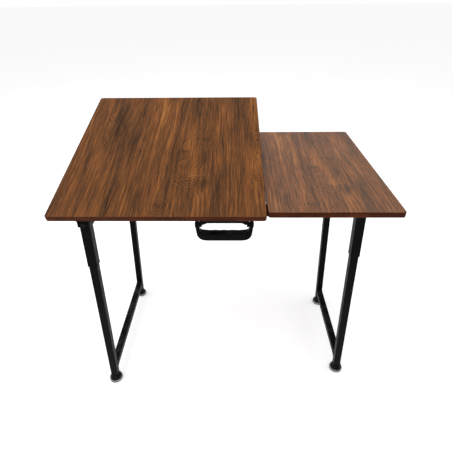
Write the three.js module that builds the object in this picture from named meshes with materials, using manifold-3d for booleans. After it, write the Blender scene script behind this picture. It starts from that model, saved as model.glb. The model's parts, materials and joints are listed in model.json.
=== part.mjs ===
// Portable sewing table: a level right board and a tilting left board on a welded tube frame, with two
// folding leg frames of different width, telescopic legs, levelling feet and a carry handle at the front.
// Millimetres, +Z up, +Y to the back. The origin is on the floor, at the centre of the whole table.
import * as THREE from "three";
import { mergeVertices } from "three/addons/utils/BufferGeometryUtils.js";
import Module from "manifold-3d";

const wasm = await Module();
wasm.setup();

// Driving dimensions.
const TABLE_WIDTH = 900;
const TABLE_DEPTH = 600;
const WORK_HEIGHT = 760;
const BOARD_THICKNESS = 15;
const BOARD_CORNER_RADIUS = 8;
const LEFT_BOARD_WIDTH = 557;
const BOARD_GAP = 3;
const EDGE_BAND = 1.2;

const TILT_DEG = 14;
const TILT_NOTCHES_DEG = [14, 21, 28];
const HINGE_SETBACK = 40;
const HINGE_DROP = 7;
const HINGE_WIDTH = 70;
const HINGE_OFFSETS = [100, 330];
const HINGE_PIN_RADIUS = 3;
const HINGE_LEAF = 2;
const HINGE_LEAF_REACH = 30;
const LEAF_EDGE = 1;
const PIN_HEAD_RIM = 1.5;
const PIN_HEAD_HEIGHT = 1;

const RAIL_SIZE = 25;
const RAIL_WALL = 1.5;
const SIDE_OVERHANG = 25;

const UPPER_TUBE = 28;
const TUBE_WALL = 1.2;
const TUBE_CORNER_RADIUS = 2.5;
const TOP_BAR = 12;
const SPLAY_DEG = 2.6;
const LEFT_LEG_INSET = 72.5;
const RIGHT_LEG_INSET = 122.5;
const UPPER_TUBE_END = 545;
const TUBE_ENGAGEMENT = 48;
const CROSSBAR_HEIGHT = 65;

const PLATE = 2;
const PIVOT_PIN_RADIUS = 4;
const PIVOT_PIN_HEAD = 7;
const PIVOT_PIN_TAIL = 1;
const BRACKET_BELOW_PIVOT = 8;
const BRACKET_REACH = 16;
const BRACKET_SIDE_GAP = 0.8;
const FLANGE_INSET = 2;
const CLAMP_HEAD_GAP = 2;
const CLAMP_SHOULDER = 2.5;
const FOOT_NECK_RIM = 5;
const FOOT_RIM = 3;

const COLLAR_LIP = 4;
const COLLAR_SLEEVE = 10;
const CLAMP_ABOVE_END = 24;
const CLAMP_KNOB_RADIUS = 9;
const CLAMP_KNOB_LENGTH = 9;
const CLAMP_STEM_RADIUS = 3;

const FOOT_RADIUS = 23.5;
const FOOT_PAD_THICKNESS = 4;
const FOOT_DOME_HEIGHT = 17;
const FOOT_STEM_RADIUS = 4;
const FOOT_STEM_LENGTH = 16;
const LEG_END_ABOVE_DOME = 3;
const LEG_PLUG = 10;

const PROP_THICKNESS = 4;
const PROP_PIN_RADIUS = 4;
const PROP_RIVET_RADIUS = 3;
const PROP_BASE_REACH = 22;
const PROP_BASE_LENGTH = 32;
const PROP_TAB_FLARE = 4;
const ARM_TO_RACK = 7.5;
const RACK_PLATE = 3;
const NOTCH_DEPTH = 2.5;
const RACK_BORDER = 8;
const RACK_EDGE = 1;
const RIGHT_RACK_INSET = 4;
const RIGHT_RACK_FLANGE = 20;
const SLOT_END = 1;

const HANDLE_WIDTH = 155;
const HANDLE_ARM = 12;
const HANDLE_DROP = 47;
const HANDLE_GRIP = 25;
const HANDLE_DEPTH = 22;
const HANDLE_PLATE = 4;
const HANDLE_PLATE_BELOW_RAIL = 18;
const HANDLE_EAR = 6;
const HANDLE_PIVOT_RADIUS = 7.5;
const HANDLE_PIVOT_BELOW_RAIL = 16;
const HANDLE_PLATE_BELOW_BOARD = 3;
const HANDLE_ARCH_RUN = 16;

// Clearances.
const GAP = 0.3;
const BAND_GAP = 0.05;
const RUNNING = 0.3;
const SWING_GAP = 1.5;
const TELESCOPE_GAP = 0.8;
const FOLDED_FOOT_GAP = 3.5;
const FOLDED_FRAME_GAP = 2;
const RACK_TO_LEG = 10.2;
const FLAT_PROP_GAP = 1;

// Derived sizes.
const RAD = Math.PI / 180;
const tilt = TILT_DEG * RAD;
const splay = SPLAY_DEG * RAD;
const undersideZ = WORK_HEIGHT - BOARD_THICKNESS;
const frontY = -TABLE_DEPTH / 2;
const hingeY = frontY + HINGE_SETBACK;
const hingeZ = undersideZ - HINGE_DROP;
const railFrontY = hingeY + HINGE_DROP + GAP;
const railBottomZ = undersideZ - GAP - RAIL_SIZE;
const railOuterX = TABLE_WIDTH / 2 - SIDE_OVERHANG;
const railInnerX = railOuterX - RAIL_SIZE;
const pivotX = railInnerX - GAP - PLATE - SWING_GAP - UPPER_TUBE / 2;
const leftBoardRightX = -TABLE_WIDTH / 2 + LEFT_BOARD_WIDTH;
const rightBoardLeftX = leftBoardRightX + BOARD_GAP;
const propWidth = 2 * (HINGE_DROP - FLAT_PROP_GAP);
const footTopZ = FOOT_PAD_THICKNESS + GAP + FOOT_DOME_HEIGHT;
const lowerTube = UPPER_TUBE - 2 * TUBE_WALL - 2 * TELESCOPE_GAP;
const leftLegSpread = TABLE_DEPTH - 2 * LEFT_LEG_INSET;
const rightLegSpread = TABLE_DEPTH - 2 * RIGHT_LEG_INSET;
// Folded, the right frame's feet lie just under the boards, and the left frame lies under the right one.
const rightPivotZ = undersideZ - FOOT_RADIUS - FOLDED_FOOT_GAP;
const leftPivotZ = rightPivotZ - UPPER_TUBE - FOLDED_FRAME_GAP;
// The racks end just in front of the right frame's rear leg, and the props reach to the racks' rear ends.
const slotHalf = PROP_PIN_RADIUS + RUNNING;
const rackRearY = rightLegSpread / 2 - UPPER_TUBE / 2 - RACK_TO_LEG;
const propLength = (rackRearY - RACK_BORDER - SLOT_END - slotHalf - hingeY) / 2;

const finish = {
  laminate: new THREE.MeshStandardMaterial({ color: 0x734b2d, roughness: 0.45, metalness: 0 }),
  edging: new THREE.MeshStandardMaterial({ color: 0x4d2417, roughness: 0.5, metalness: 0 }),
  blackSteel: new THREE.MeshStandardMaterial({ color: 0x141414, roughness: 0.4, metalness: 0.3 }),
  zincSteel: new THREE.MeshStandardMaterial({ color: 0x9a9a98, roughness: 0.35, metalness: 0.9 }),
  chrome: new THREE.MeshStandardMaterial({ color: 0xc8c8c8, roughness: 0.1, metalness: 1 }),
  blackPlastic: new THREE.MeshStandardMaterial({ color: 0x0f0f0f, roughness: 0.45, metalness: 0 }),
  rubber: new THREE.MeshStandardMaterial({ color: 0x1a1a1a, roughness: 0.9, metalness: 0 }),
};

// ------------------------------------------------------------------------------------------
// Geometry helpers
// ------------------------------------------------------------------------------------------

/** A closed BufferGeometry as a manifold solid. */
function solid(geometry) {
  const bare = geometry.index ? geometry.toNonIndexed() : geometry.clone();
  bare.deleteAttribute("normal");
  bare.deleteAttribute("uv");
  const merged = mergeVertices(bare, 1e-4);
  return new wasm.Manifold(
    new wasm.Mesh({
      numProp: 3,
      vertProperties: new Float32Array(merged.attributes.position.array),
      triVerts: new Uint32Array(merged.index.array),
    }),
  );
}

/** A manifold solid as a BufferGeometry with flat normals. */
function geometryOf(body) {
  const mesh = body.getMesh();
  const geometry = new THREE.BufferGeometry();
  geometry.setAttribute("position", new THREE.BufferAttribute(new Float32Array(mesh.vertProperties), 3));
  geometry.setIndex(new THREE.BufferAttribute(new Uint32Array(mesh.triVerts), 1));
  geometry.computeVertexNormals();
  return geometry;
}

/** The union of some solids. */
function join(...bodies) {
  return bodies.reduce((whole, body) => whole.add(body));
}

/** A box as a solid, given by its low and high corners. */
function block(low, high) {
  const size = high.map((value, axis) => value - low[axis]);
  const centre = high.map((value, axis) => (value + low[axis]) / 2);
  return solid(new THREE.BoxGeometry(...size).translate(...centre));
}

/** A shape extruded from z = 0 to z = depth. */
function extrude(shape, depth, curveSegments = 4) {
  return new THREE.ExtrudeGeometry(shape, { depth, bevelEnabled: false, curveSegments });
}

/** Turns a geometry drawn along +Z so that it runs along +X: its own X goes to +Y and its own Y to +Z. */
function alongX(geometry) {
  return geometry.applyMatrix4(new THREE.Matrix4().set(0, 0, 1, 0, 1, 0, 0, 0, 0, 1, 0, 0, 0, 0, 0, 1));
}

/** Turns a geometry drawn along +Z so that it runs along -Y: its own X stays and its own Y goes to +Z. */
function alongY(geometry) {
  return geometry.rotateX(Math.PI / 2);
}

/** A rectangle with round corners, centred on the origin, as a shape or a hole. */
function roundedRectangle(width, height, radius, kind = THREE.Shape) {
  const x = width / 2;
  const y = height / 2;
  const outline = new kind();
  outline.moveTo(-x + radius, -y);
  outline.lineTo(x - radius, -y);
  outline.absarc(x - radius, -y + radius, radius, -Math.PI / 2, 0);
  outline.lineTo(x, y - radius);
  outline.absarc(x - radius, y - radius, radius, 0, Math.PI / 2);
  outline.lineTo(-x + radius, y);
  outline.absarc(-x + radius, y - radius, radius, Math.PI / 2, Math.PI);
  outline.lineTo(-x, -y + radius);
  outline.absarc(-x + radius, -y + radius, radius, Math.PI, Math.PI * 1.5);
  return outline;
}

/** A square tube along +Z, from z = 0, centred on the Z axis. */
function squareTube(size, wall, length) {
  const shape = roundedRectangle(size, size, TUBE_CORNER_RADIUS);
  const bore = size - 2 * wall;
  shape.holes.push(roundedRectangle(bore, bore, TUBE_CORNER_RADIUS - wall, THREE.Path));
  return extrude(shape, length, 4);
}

/** A round bar along X as a solid, from low to high, at a height and depth. */
function barX(radius, low, high, y, z, sides = 16) {
  const bar = new THREE.CylinderGeometry(radius, radius, high - low, sides).rotateZ(Math.PI / 2);
  return solid(bar.translate((low + high) / 2, y, z));
}

/** A round bar along Y as a solid, from low to high, at a sideways place and height. */
function barY(radius, low, high, x, z, sides = 16) {
  const cylinder = new THREE.CylinderGeometry(radius, radius, high - low, sides);
  return solid(cylinder.translate(x, (low + high) / 2, z));
}

/** Adds one named piece to a group. */
function addPiece(parent, name, body, material) {
  const geometry = body.isBufferGeometry ? body : geometryOf(body);
  const mesh = new THREE.Mesh(geometry, material.clone());
  mesh.name = name;
  parent.add(mesh);
  return mesh;
}

const table = new THREE.Group();

// ------------------------------------------------------------------------------------------
// Boards
// ------------------------------------------------------------------------------------------

/** Adds a laminated board and the edge band around it, its left front bottom corner at a place. */
function addBoard(parent, side, width, leftX, front, bottomZ) {
  const centreX = leftX + width / 2;
  const centreY = front + TABLE_DEPTH / 2;
  const inset = EDGE_BAND + BAND_GAP;
  const core = roundedRectangle(width - 2 * inset, TABLE_DEPTH - 2 * inset, BOARD_CORNER_RADIUS - inset);
  const board = extrude(core, BOARD_THICKNESS).translate(centreX, centreY, bottomZ);
  addPiece(parent, `${side}_board`, board, finish.laminate);

  const band = roundedRectangle(width, TABLE_DEPTH, BOARD_CORNER_RADIUS);
  const bandInner = [width - 2 * EDGE_BAND, TABLE_DEPTH - 2 * EDGE_BAND, BOARD_CORNER_RADIUS - EDGE_BAND];
  band.holes.push(roundedRectangle(...bandInner, THREE.Path));
  const edgeBand = extrude(band, BOARD_THICKNESS).translate(centreX, centreY, bottomZ);
  addPiece(parent, `${side}_edge_band`, edgeBand, finish.edging);
}

const rightBoardWidth = TABLE_WIDTH / 2 - rightBoardLeftX;
addBoard(table, "right", rightBoardWidth, rightBoardLeftX, frontY, undersideZ);

// The tilting group turns about the hinge axis, which runs along X through the group's origin.
const tilting = new THREE.Group();
tilting.position.set(0, hingeY, hingeZ);
tilting.rotation.x = tilt;
table.add(tilting);
addBoard(tilting, "left", LEFT_BOARD_WIDTH, -TABLE_WIDTH / 2, -HINGE_SETBACK, HINGE_DROP);

// ------------------------------------------------------------------------------------------
// Frame under the boards: four square tubes with mitred corners
// ------------------------------------------------------------------------------------------

/** A tube of a given outer length along X, centred, mitred at 45 degrees towards +Y at both ends. */
function mitredRail(length) {
  const half = length / 2;
  const tube = alongX(squareTube(RAIL_SIZE, RAIL_WALL, length)).translate(-half, 0, 0);
  const cut = new THREE.Shape();
  cut.moveTo(-half + GAP, -RAIL_SIZE / 2 - 1 + GAP);
  cut.lineTo(half - GAP, -RAIL_SIZE / 2 - 1 + GAP);
  cut.lineTo(half - GAP - RAIL_SIZE - 2, RAIL_SIZE / 2 + 1 + GAP);
  cut.lineTo(-half + GAP + RAIL_SIZE + 2, RAIL_SIZE / 2 + 1 + GAP);
  cut.closePath();
  const wedge = solid(extrude(cut, RAIL_SIZE * 2).translate(0, 0, -RAIL_SIZE));
  return geometryOf(solid(tube).intersect(wedge));
}

const railWidth = 2 * railOuterX;
const railDepth = -2 * railFrontY;
const rails = [
  ["front_rail", railWidth, 0, railFrontY + RAIL_SIZE / 2, 0],
  ["right_rail", railDepth, railOuterX - RAIL_SIZE / 2, 0, 1],
  ["rear_rail", railWidth, 0, -railFrontY - RAIL_SIZE / 2, 2],
  ["left_rail", railDepth, -railOuterX + RAIL_SIZE / 2, 0, 3],
];
for (const [name, length, x, y, quarterTurns] of rails) {
  const rail = addPiece(table, name, mitredRail(length), finish.blackSteel);
  rail.rotation.z = (quarterTurns * Math.PI) / 2;
  rail.position.set(x, y, railBottomZ + RAIL_SIZE / 2);
}

// ------------------------------------------------------------------------------------------
// Butt hinges between the front rail and the tilting board
// ------------------------------------------------------------------------------------------

/** One leaf of a butt hinge: a plate beside the pin axis with round knuckles around the axis. */
function hingeLeaf(plate, knuckles) {
  const rings = knuckles.map(([low, high]) => barX(HINGE_DROP, low, high, 0, 0));
  const bore = barX(HINGE_PIN_RADIUS + RUNNING, -HINGE_WIDTH, HINGE_WIDTH, 0, 0);
  return join(plate, ...rings).subtract(bore);
}

/** Adds one butt hinge with its middle at a sideways place. */
function addHinge(name, x) {
  const half = HINGE_WIDTH / 2;
  const quarter = HINGE_WIDTH / 4;
  const leafLow = HINGE_DROP - HINGE_LEAF;
  const leafHigh = HINGE_DROP - GAP;
  const outer = [[-half, -quarter - GAP], [quarter + GAP, half]];
  const boardPlate = block([-half, -HINGE_LEAF_REACH, leafLow], [half, -HINGE_DROP, leafHigh]);
  const bridges = outer.map(([low, high]) => block([low, -HINGE_DROP, leafLow], [high, 0, leafHigh]));
  const envelope = block([-half, -HINGE_LEAF_REACH, -HINGE_DROP], [half, HINGE_DROP, leafHigh]);
  const boardLeaf = hingeLeaf(join(boardPlate, ...bridges), outer).intersect(envelope);
  addPiece(tilting, `${name}_board_leaf`, geometryOf(boardLeaf).translate(x, 0, 0), finish.zincSteel);

  const inner = [[-quarter, quarter]];
  const leafBottom = railBottomZ - hingeZ + LEAF_EDGE;
  const railPlate = join(
    block([-half, HINGE_DROP - HINGE_LEAF, leafBottom], [half, HINGE_DROP, -HINGE_DROP]),
    block([-quarter, HINGE_DROP - HINGE_LEAF, -HINGE_DROP], [quarter, HINGE_DROP, 0]),
  );
  const railLeaf = geometryOf(hingeLeaf(railPlate, inner)).translate(x, hingeY, hingeZ);
  addPiece(table, `${name}_rail_leaf`, railLeaf, finish.zincSteel);

  const pinEnd = half + GAP;
  const pin = join(
    barX(HINGE_PIN_RADIUS, -pinEnd, pinEnd, 0, 0),
    barX(HINGE_PIN_RADIUS + PIN_HEAD_RIM, -pinEnd - PIN_HEAD_HEIGHT, -pinEnd, 0, 0),
    barX(HINGE_PIN_RADIUS + PIN_HEAD_RIM, pinEnd, pinEnd + PIN_HEAD_HEIGHT, 0, 0),
  );
  addPiece(table, `${name}_pin`, geometryOf(pin).translate(x, hingeY, hingeZ), finish.zincSteel);
}

addHinge("left_hinge", -TABLE_WIDTH / 2 + HINGE_OFFSETS[0]);
addHinge("right_hinge", -TABLE_WIDTH / 2 + HINGE_OFFSETS[1]);

// ------------------------------------------------------------------------------------------
// Tilt props: an arm as long as its pivot is far from the hinge, so its foot pin keeps the hinge's height
// ------------------------------------------------------------------------------------------

/** How far behind the hinge axis the foot pin stands at a tilt. */
function footReach(angle) {
  return 2 * propLength * Math.cos(angle);
}

/** A notched plate in Y and Z, with the foot pin's slot at z = 0 and y counted from the hinge. */
function rackPlate(top, bottom) {
  const slotFront = footReach(Math.max(...TILT_NOTCHES_DEG) * RAD) - slotHalf - SLOT_END;
  const slotRear = footReach(0) + slotHalf + SLOT_END;
  const plate = block([0, slotFront - RACK_BORDER, bottom], [RACK_PLATE, slotRear + RACK_BORDER, top]);
  const slot = block([-1, slotFront, -slotHalf], [RACK_PLATE + 1, slotRear, slotHalf]);
  const notches = TILT_NOTCHES_DEG.map((degrees) =>
    barX(slotHalf, -1, RACK_PLATE + 1, footReach(degrees * RAD), -NOTCH_DEPTH),
  );
  return plate.subtract(join(slot, ...notches));
}

/** The prop arm from its pivot at the origin along +Y, with the foot pin pointing along +X. */
function propArm(pinReach) {
  const outline = roundedRectangle(propLength + propWidth, propWidth, propWidth / 2 - 0.01);
  const bar = solid(alongX(extrude(outline, PROP_THICKNESS, 4)).translate(0, propLength / 2, 0));
  const hole = barX(PROP_RIVET_RADIUS + RUNNING, -1, PROP_THICKNESS + 1, 0, 0);
  const footPin = barX(PROP_PIN_RADIUS, 0.5, PROP_THICKNESS + pinReach, propLength, 0);
  return join(bar.subtract(hole), footPin);
}

/** The bracket under the tilting board: a base plate, a tab beside the arm, and a rivet through the arm. */
function propBracket() {
  const halfLength = PROP_BASE_LENGTH / 2;
  const base = block(
    [-PROP_BASE_REACH, -halfLength, HINGE_DROP - PLATE],
    [-GAP, halfLength, HINGE_DROP - GAP],
  );
  const tab = new THREE.Shape();
  tab.moveTo(-propWidth / 2 - PROP_TAB_FLARE, HINGE_DROP - PLATE / 2);
  tab.lineTo(-propWidth / 2, 0);
  tab.absarc(0, 0, propWidth / 2, Math.PI, 2 * Math.PI);
  tab.lineTo(propWidth / 2 + PROP_TAB_FLARE, HINGE_DROP - PLATE / 2);
  tab.closePath();
  const plate = solid(alongX(extrude(tab, PLATE, 4)).translate(-GAP - PLATE, 0, 0));
  const headStart = PROP_THICKNESS + GAP;
  const rivet = join(
    barX(PROP_RIVET_RADIUS, -GAP - PLATE - PIN_HEAD_HEIGHT, headStart + GAP, 0, 0),
    barX(PROP_RIVET_RADIUS + PIN_HEAD_RIM, headStart, headStart + PIN_HEAD_HEIGHT, 0, 0),
  );
  return join(base, plate, rivet);
}

/** Adds a rack, an arm and its bracket. The sign is the way the foot pin points along X. */
function addProp(side, sign, armX, rackX, rackTop, flangeReach) {
  const bracket = addPiece(tilting, `${side}_prop_bracket`, propBracket(), finish.zincSteel);
  bracket.position.set(armX, propLength, 0);
  bracket.rotation.z = sign > 0 ? 0 : Math.PI;

  const armGroup = new THREE.Group();
  armGroup.position.set(armX, propLength, 0);
  armGroup.rotation.x = -2 * tilt;
  tilting.add(armGroup);
  const pinReach = Math.abs(rackX - armX) - PROP_THICKNESS + RACK_PLATE - 2 * GAP;
  const arm = propArm(pinReach);
  const placed = sign > 0 ? arm : arm.mirror([1, 0, 0]);
  addPiece(armGroup, `${side}_prop_arm`, placed, finish.zincSteel);

  const plate = rackPlate(rackTop - hingeZ, railBottomZ - hingeZ + 2 * RACK_EDGE);
  const box = plate.boundingBox();
  const flange = block(
    [0, box.min[1], rackTop - hingeZ - PLATE],
    [RACK_PLATE + flangeReach, box.max[1], rackTop - hingeZ],
  );
  const rack = flangeReach > 0 ? join(plate, flange) : plate;
  const facing = sign > 0 ? rack : rack.mirror([1, 0, 0]);
  addPiece(table, `${side}_tilt_rack`, geometryOf(facing).translate(rackX, hingeY, hingeZ), finish.zincSteel);
}

const leftRackX = -railInnerX + GAP + RACK_PLATE;
addProp("left", -1, leftRackX + ARM_TO_RACK, leftRackX, undersideZ - RACK_EDGE, 0);
const rightRackX = rightBoardLeftX + RIGHT_RACK_INSET;
const rightArmX = leftBoardRightX - PROP_THICKNESS - PLATE;
addProp("right", 1, rightArmX, rightRackX, undersideZ - GAP, RIGHT_RACK_FLANGE);

// ------------------------------------------------------------------------------------------
// Carry handle under the middle of the front edge
// ------------------------------------------------------------------------------------------

const handleWidthHalf = HANDLE_WIDTH / 2;
const earOuter = handleWidthHalf - HANDLE_ARM - GAP;
const earInner = earOuter - HANDLE_EAR;
const bailPivotY = railFrontY - GAP - HANDLE_PLATE - GAP - HANDLE_PIVOT_RADIUS;
const bailPivotZ = railBottomZ - HANDLE_PIVOT_BELOW_RAIL;

/** The plate on the front rail, with an arched lower edge, two ears and the bail's pivot stubs. */
function handlePlate() {
  const low = bailPivotZ - HANDLE_PIVOT_RADIUS;
  const archTop = railBottomZ - HANDLE_PLATE_BELOW_RAIL;
  const top = undersideZ - HANDLE_PLATE_BELOW_BOARD;
  const archStart = earInner - HANDLE_ARCH_RUN;
  const archEase = HANDLE_ARCH_RUN / 2;
  const shoulder = bailPivotZ + HANDLE_PIVOT_RADIUS + GAP;
  const shape = new THREE.Shape();
  shape.moveTo(-handleWidthHalf, top);
  shape.lineTo(-handleWidthHalf, shoulder);
  shape.lineTo(-earOuter, shoulder);
  shape.lineTo(-earOuter, low);
  shape.lineTo(-earInner, low);
  shape.bezierCurveTo(archEase - earInner, low, archEase - earInner, archTop, -archStart, archTop);
  shape.lineTo(archStart, archTop);
  shape.bezierCurveTo(earInner - archEase, archTop, earInner - archEase, low, earInner, low);
  shape.lineTo(earOuter, low);
  shape.lineTo(earOuter, shoulder);
  shape.lineTo(handleWidthHalf, shoulder);
  shape.lineTo(handleWidthHalf, top);
  shape.closePath();
  const plateBack = railFrontY - GAP;
  const plate = solid(alongY(extrude(shape, HANDLE_PLATE, 4)).translate(0, plateBack, 0));
  const ears = [-1, 1].map((sign) => {
    const [near, far] = [earInner * sign, earOuter * sign].sort((a, b) => a - b);
    const round = barX(HANDLE_PIVOT_RADIUS, near, far, bailPivotY, bailPivotZ);
    return round.add(block([near, bailPivotY, low], [far, plateBack - 1, bailPivotZ + HANDLE_PIVOT_RADIUS]));
  });
  const stubs = [-1, 1].map((sign) => {
    const [near, far] = [(earOuter - 1) * sign, handleWidthHalf * sign].sort((a, b) => a - b);
    return barX(PIVOT_PIN_RADIUS, near, far, bailPivotY, bailPivotZ);
  });
  return join(plate, ...ears, ...stubs);
}

/** The bail: two arms and a grip with finger waves on its inner edge, in X and Z from the pivot axis. */
function handleBail() {
  const outerCorner = 24;
  const innerCornerRun = 22;
  const innerCornerRise = 14;
  const waveCount = 4;
  const waveDepth = 0.7;
  const taper = 3;
  const bevel = 4;
  const outerX = handleWidthHalf - bevel;
  const innerX = handleWidthHalf - HANDLE_ARM + bevel;
  const bottom = -HANDLE_DROP + bevel;
  const gripTop = -HANDLE_DROP + HANDLE_GRIP - bevel;
  const shape = new THREE.Shape();
  shape.moveTo(-outerX, HANDLE_PIVOT_RADIUS);
  shape.lineTo(-outerX + taper, bottom + outerCorner);
  shape.quadraticCurveTo(-outerX + taper, bottom, -outerX + taper + outerCorner, bottom);
  shape.lineTo(outerX - taper - outerCorner, bottom);
  shape.quadraticCurveTo(outerX - taper, bottom, outerX - taper, bottom + outerCorner);
  shape.lineTo(outerX, HANDLE_PIVOT_RADIUS);
  shape.lineTo(innerX, HANDLE_PIVOT_RADIUS);
  shape.lineTo(innerX, gripTop + innerCornerRise);
  shape.quadraticCurveTo(innerX, gripTop, innerX - innerCornerRun, gripTop);
  const waveHalf = innerX - innerCornerRun;
  const waveSteps = 16;
  for (let step = 1; step <= waveSteps; step += 1) {
    const along = step / waveSteps;
    const rise = Math.sin(along * waveCount * Math.PI) ** 2;
    shape.lineTo(waveHalf - 2 * waveHalf * along, gripTop - waveDepth * rise);
  }
  shape.quadraticCurveTo(-innerX, gripTop, -innerX, gripTop + innerCornerRise);
  shape.lineTo(-innerX, HANDLE_PIVOT_RADIUS);
  shape.closePath();
  const swept = new THREE.ExtrudeGeometry(shape, {
    depth: HANDLE_DEPTH - 2 * bevel,
    bevelThickness: bevel,
    bevelSize: bevel,
    bevelSegments: 2,
    curveSegments: 4,
  });
  const body = solid(alongY(swept).translate(0, HANDLE_DEPTH / 2 - bevel, 0));

  const side = new THREE.Shape();
  side.absarc(0, 0, HANDLE_PIVOT_RADIUS, 0, Math.PI);
  side.lineTo(-HANDLE_PIVOT_RADIUS, -HANDLE_PIVOT_RADIUS - GAP);
  side.lineTo(-HANDLE_DEPTH / 2, gripTop);
  side.lineTo(-HANDLE_DEPTH / 2, -HANDLE_DROP - 1);
  side.lineTo(HANDLE_DEPTH / 2, -HANDLE_DROP - 1);
  side.lineTo(HANDLE_DEPTH / 2, gripTop);
  side.lineTo(HANDLE_PIVOT_RADIUS, -HANDLE_PIVOT_RADIUS - GAP);
  side.closePath();
  const profile = solid(alongX(extrude(side, HANDLE_WIDTH, 6)).translate(-handleWidthHalf, 0, 0));
  const bore = barX(PIVOT_PIN_RADIUS + RUNNING, -HANDLE_WIDTH, HANDLE_WIDTH, 0, 0);
  return body.intersect(profile).subtract(bore);
}

addPiece(table, "handle_plate", handlePlate(), finish.blackPlastic);
const bail = addPiece(table, "handle_bail", handleBail(), finish.blackPlastic);
bail.position.set(0, bailPivotY, bailPivotZ);

// ------------------------------------------------------------------------------------------
// Leg frames
// ------------------------------------------------------------------------------------------

/** An upper leg tube hanging from the pivot, with a round top, the pivot hole and the clamp hole. */
function upperLeg(length, legY) {
  const half = UPPER_TUBE / 2;
  const tube = solid(squareTube(UPPER_TUBE, TUBE_WALL, length + half).translate(0, legY, -length));
  const side = new THREE.Shape();
  side.moveTo(-half - 1, -length - 1);
  side.lineTo(half + 1, -length - 1);
  side.lineTo(half + 1, 0);
  side.lineTo(half, 0);
  side.absarc(0, 0, half, 0, Math.PI);
  side.lineTo(-half - 1, 0);
  side.closePath();
  const profile = solid(alongY(extrude(side, UPPER_TUBE + 2, 6)).translate(0, legY + half + 1, 0));
  const pivotHole = barY(PIVOT_PIN_RADIUS + RUNNING, legY - UPPER_TUBE, legY + UPPER_TUBE, 0, 0);
  const clampHole = barY(CLAMP_STEM_RADIUS + RUNNING, legY, legY + UPPER_TUBE, 0, CLAMP_ABOVE_END - length);
  return tube.intersect(profile).subtract(pivotHole).subtract(clampHole);
}

/** A lower leg tube from top to bottom, closed at its foot by a plug with the stem's hole. */
function lowerLeg(top, bottom, legY) {
  const tube = solid(squareTube(lowerTube, TUBE_WALL, top - bottom).translate(0, legY, bottom));
  const inner = lowerTube / 2 - 0.5;
  const plug = block([-inner, legY - inner, bottom], [inner, legY + inner, bottom + LEG_PLUG]);
  const stemHole = solid(
    new THREE.CylinderGeometry(FOOT_STEM_RADIUS + 1, FOOT_STEM_RADIUS + 1, 4 * LEG_PLUG, 12)
      .rotateX(Math.PI / 2)
      .translate(0, legY, bottom),
  );
  return tube.add(plug).subtract(stemHole);
}

/** The plastic collar in the end of an upper tube: a lip under the end and a thin sleeve inside it. */
function collar(endZ, legY) {
  const bore = lowerTube + 2 * RUNNING;
  const lip = roundedRectangle(UPPER_TUBE + 1, UPPER_TUBE + 1, TUBE_CORNER_RADIUS + 0.5);
  lip.holes.push(roundedRectangle(bore, bore, TUBE_CORNER_RADIUS, THREE.Path));
  const sleeveSize = UPPER_TUBE - 2 * TUBE_WALL - RUNNING;
  const sleeve = roundedRectangle(sleeveSize, sleeveSize, 1);
  sleeve.holes.push(roundedRectangle(bore, bore, TUBE_CORNER_RADIUS, THREE.Path));
  const lipBody = solid(extrude(lip, COLLAR_LIP).translate(0, legY, endZ - GAP - COLLAR_LIP));
  const sleeveBody = solid(extrude(sleeve, COLLAR_SLEEVE + 1).translate(0, legY, endZ - GAP - 1));
  return lipBody.add(sleeveBody);
}

/** The clamp screw behind an upper tube: a fluted knob and a stem that ends just short of the lower tube. */
function clampScrew() {
  const lobes = 8;
  const fluteDepth = 0.9;
  const shape = new THREE.Shape();
  const steps = 32;
  for (let step = 0; step < steps; step += 1) {
    const angle = (step / steps) * 2 * Math.PI;
    const radius = CLAMP_KNOB_RADIUS - fluteDepth * (0.5 - 0.5 * Math.cos(angle * lobes));
    const point = [radius * Math.cos(angle), radius * Math.sin(angle)];
    if (step === 0) shape.moveTo(...point);
    else shape.lineTo(...point);
  }
  shape.closePath();
  const stemTip = lowerTube / 2 + GAP;
  const knobStart = UPPER_TUBE / 2 + CLAMP_HEAD_GAP;
  const knobEnd = knobStart + CLAMP_KNOB_LENGTH;
  const knob = solid(alongY(extrude(shape, CLAMP_KNOB_LENGTH)).translate(0, knobEnd, 0));
  const stem = barY(CLAMP_STEM_RADIUS, stemTip, knobStart + 1, 0, 0);
  const shoulder = barY(CLAMP_STEM_RADIUS + CLAMP_SHOULDER, UPPER_TUBE / 2 + GAP, knobStart + 1, 0, 0);
  return join(knob, stem, shoulder);
}

/** A leg bracket: a back plate, two cheeks and, where it hangs under the rails, a top flange. */
function legBracket(pivotZ, legY, hanging) {
  const backX = railInnerX - GAP;
  const cheekInner = UPPER_TUBE / 2 + BRACKET_SIDE_GAP;
  const cheekOuter = cheekInner + PLATE;
  const low = pivotZ - BRACKET_BELOW_PIVOT;
  const high = hanging ? railBottomZ - GAP : undersideZ - FLANGE_INSET;
  const nose = pivotX - BRACKET_REACH;
  const back = block([backX - PLATE, legY - cheekOuter, low], [backX, legY + cheekOuter, high]);
  const cheek = new THREE.Shape();
  cheek.moveTo(backX - 0.5, low);
  cheek.lineTo(pivotX, low);
  cheek.absarc(nose + BRACKET_BELOW_PIVOT, pivotZ, BRACKET_BELOW_PIVOT, -Math.PI / 2, -Math.PI, true);
  cheek.lineTo(nose, high);
  cheek.lineTo(backX - 0.5, high);
  cheek.closePath();
  const cheeks = [legY - cheekInner, legY + cheekOuter].map((rear) =>
    solid(alongY(extrude(cheek, PLATE, 4)).translate(0, rear, 0)),
  );
  const holeReach = 2 * UPPER_TUBE;
  const holes = barY(PIVOT_PIN_RADIUS + RUNNING, legY - holeReach, legY + holeReach, pivotX, pivotZ);
  const flangeEdge = hanging ? railOuterX - FLANGE_INSET : backX;
  const flange = block([nose, legY - cheekOuter, high - PLATE], [flangeEdge, legY + cheekOuter, high]);
  return join(back, ...cheeks, flange).subtract(holes);
}

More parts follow.
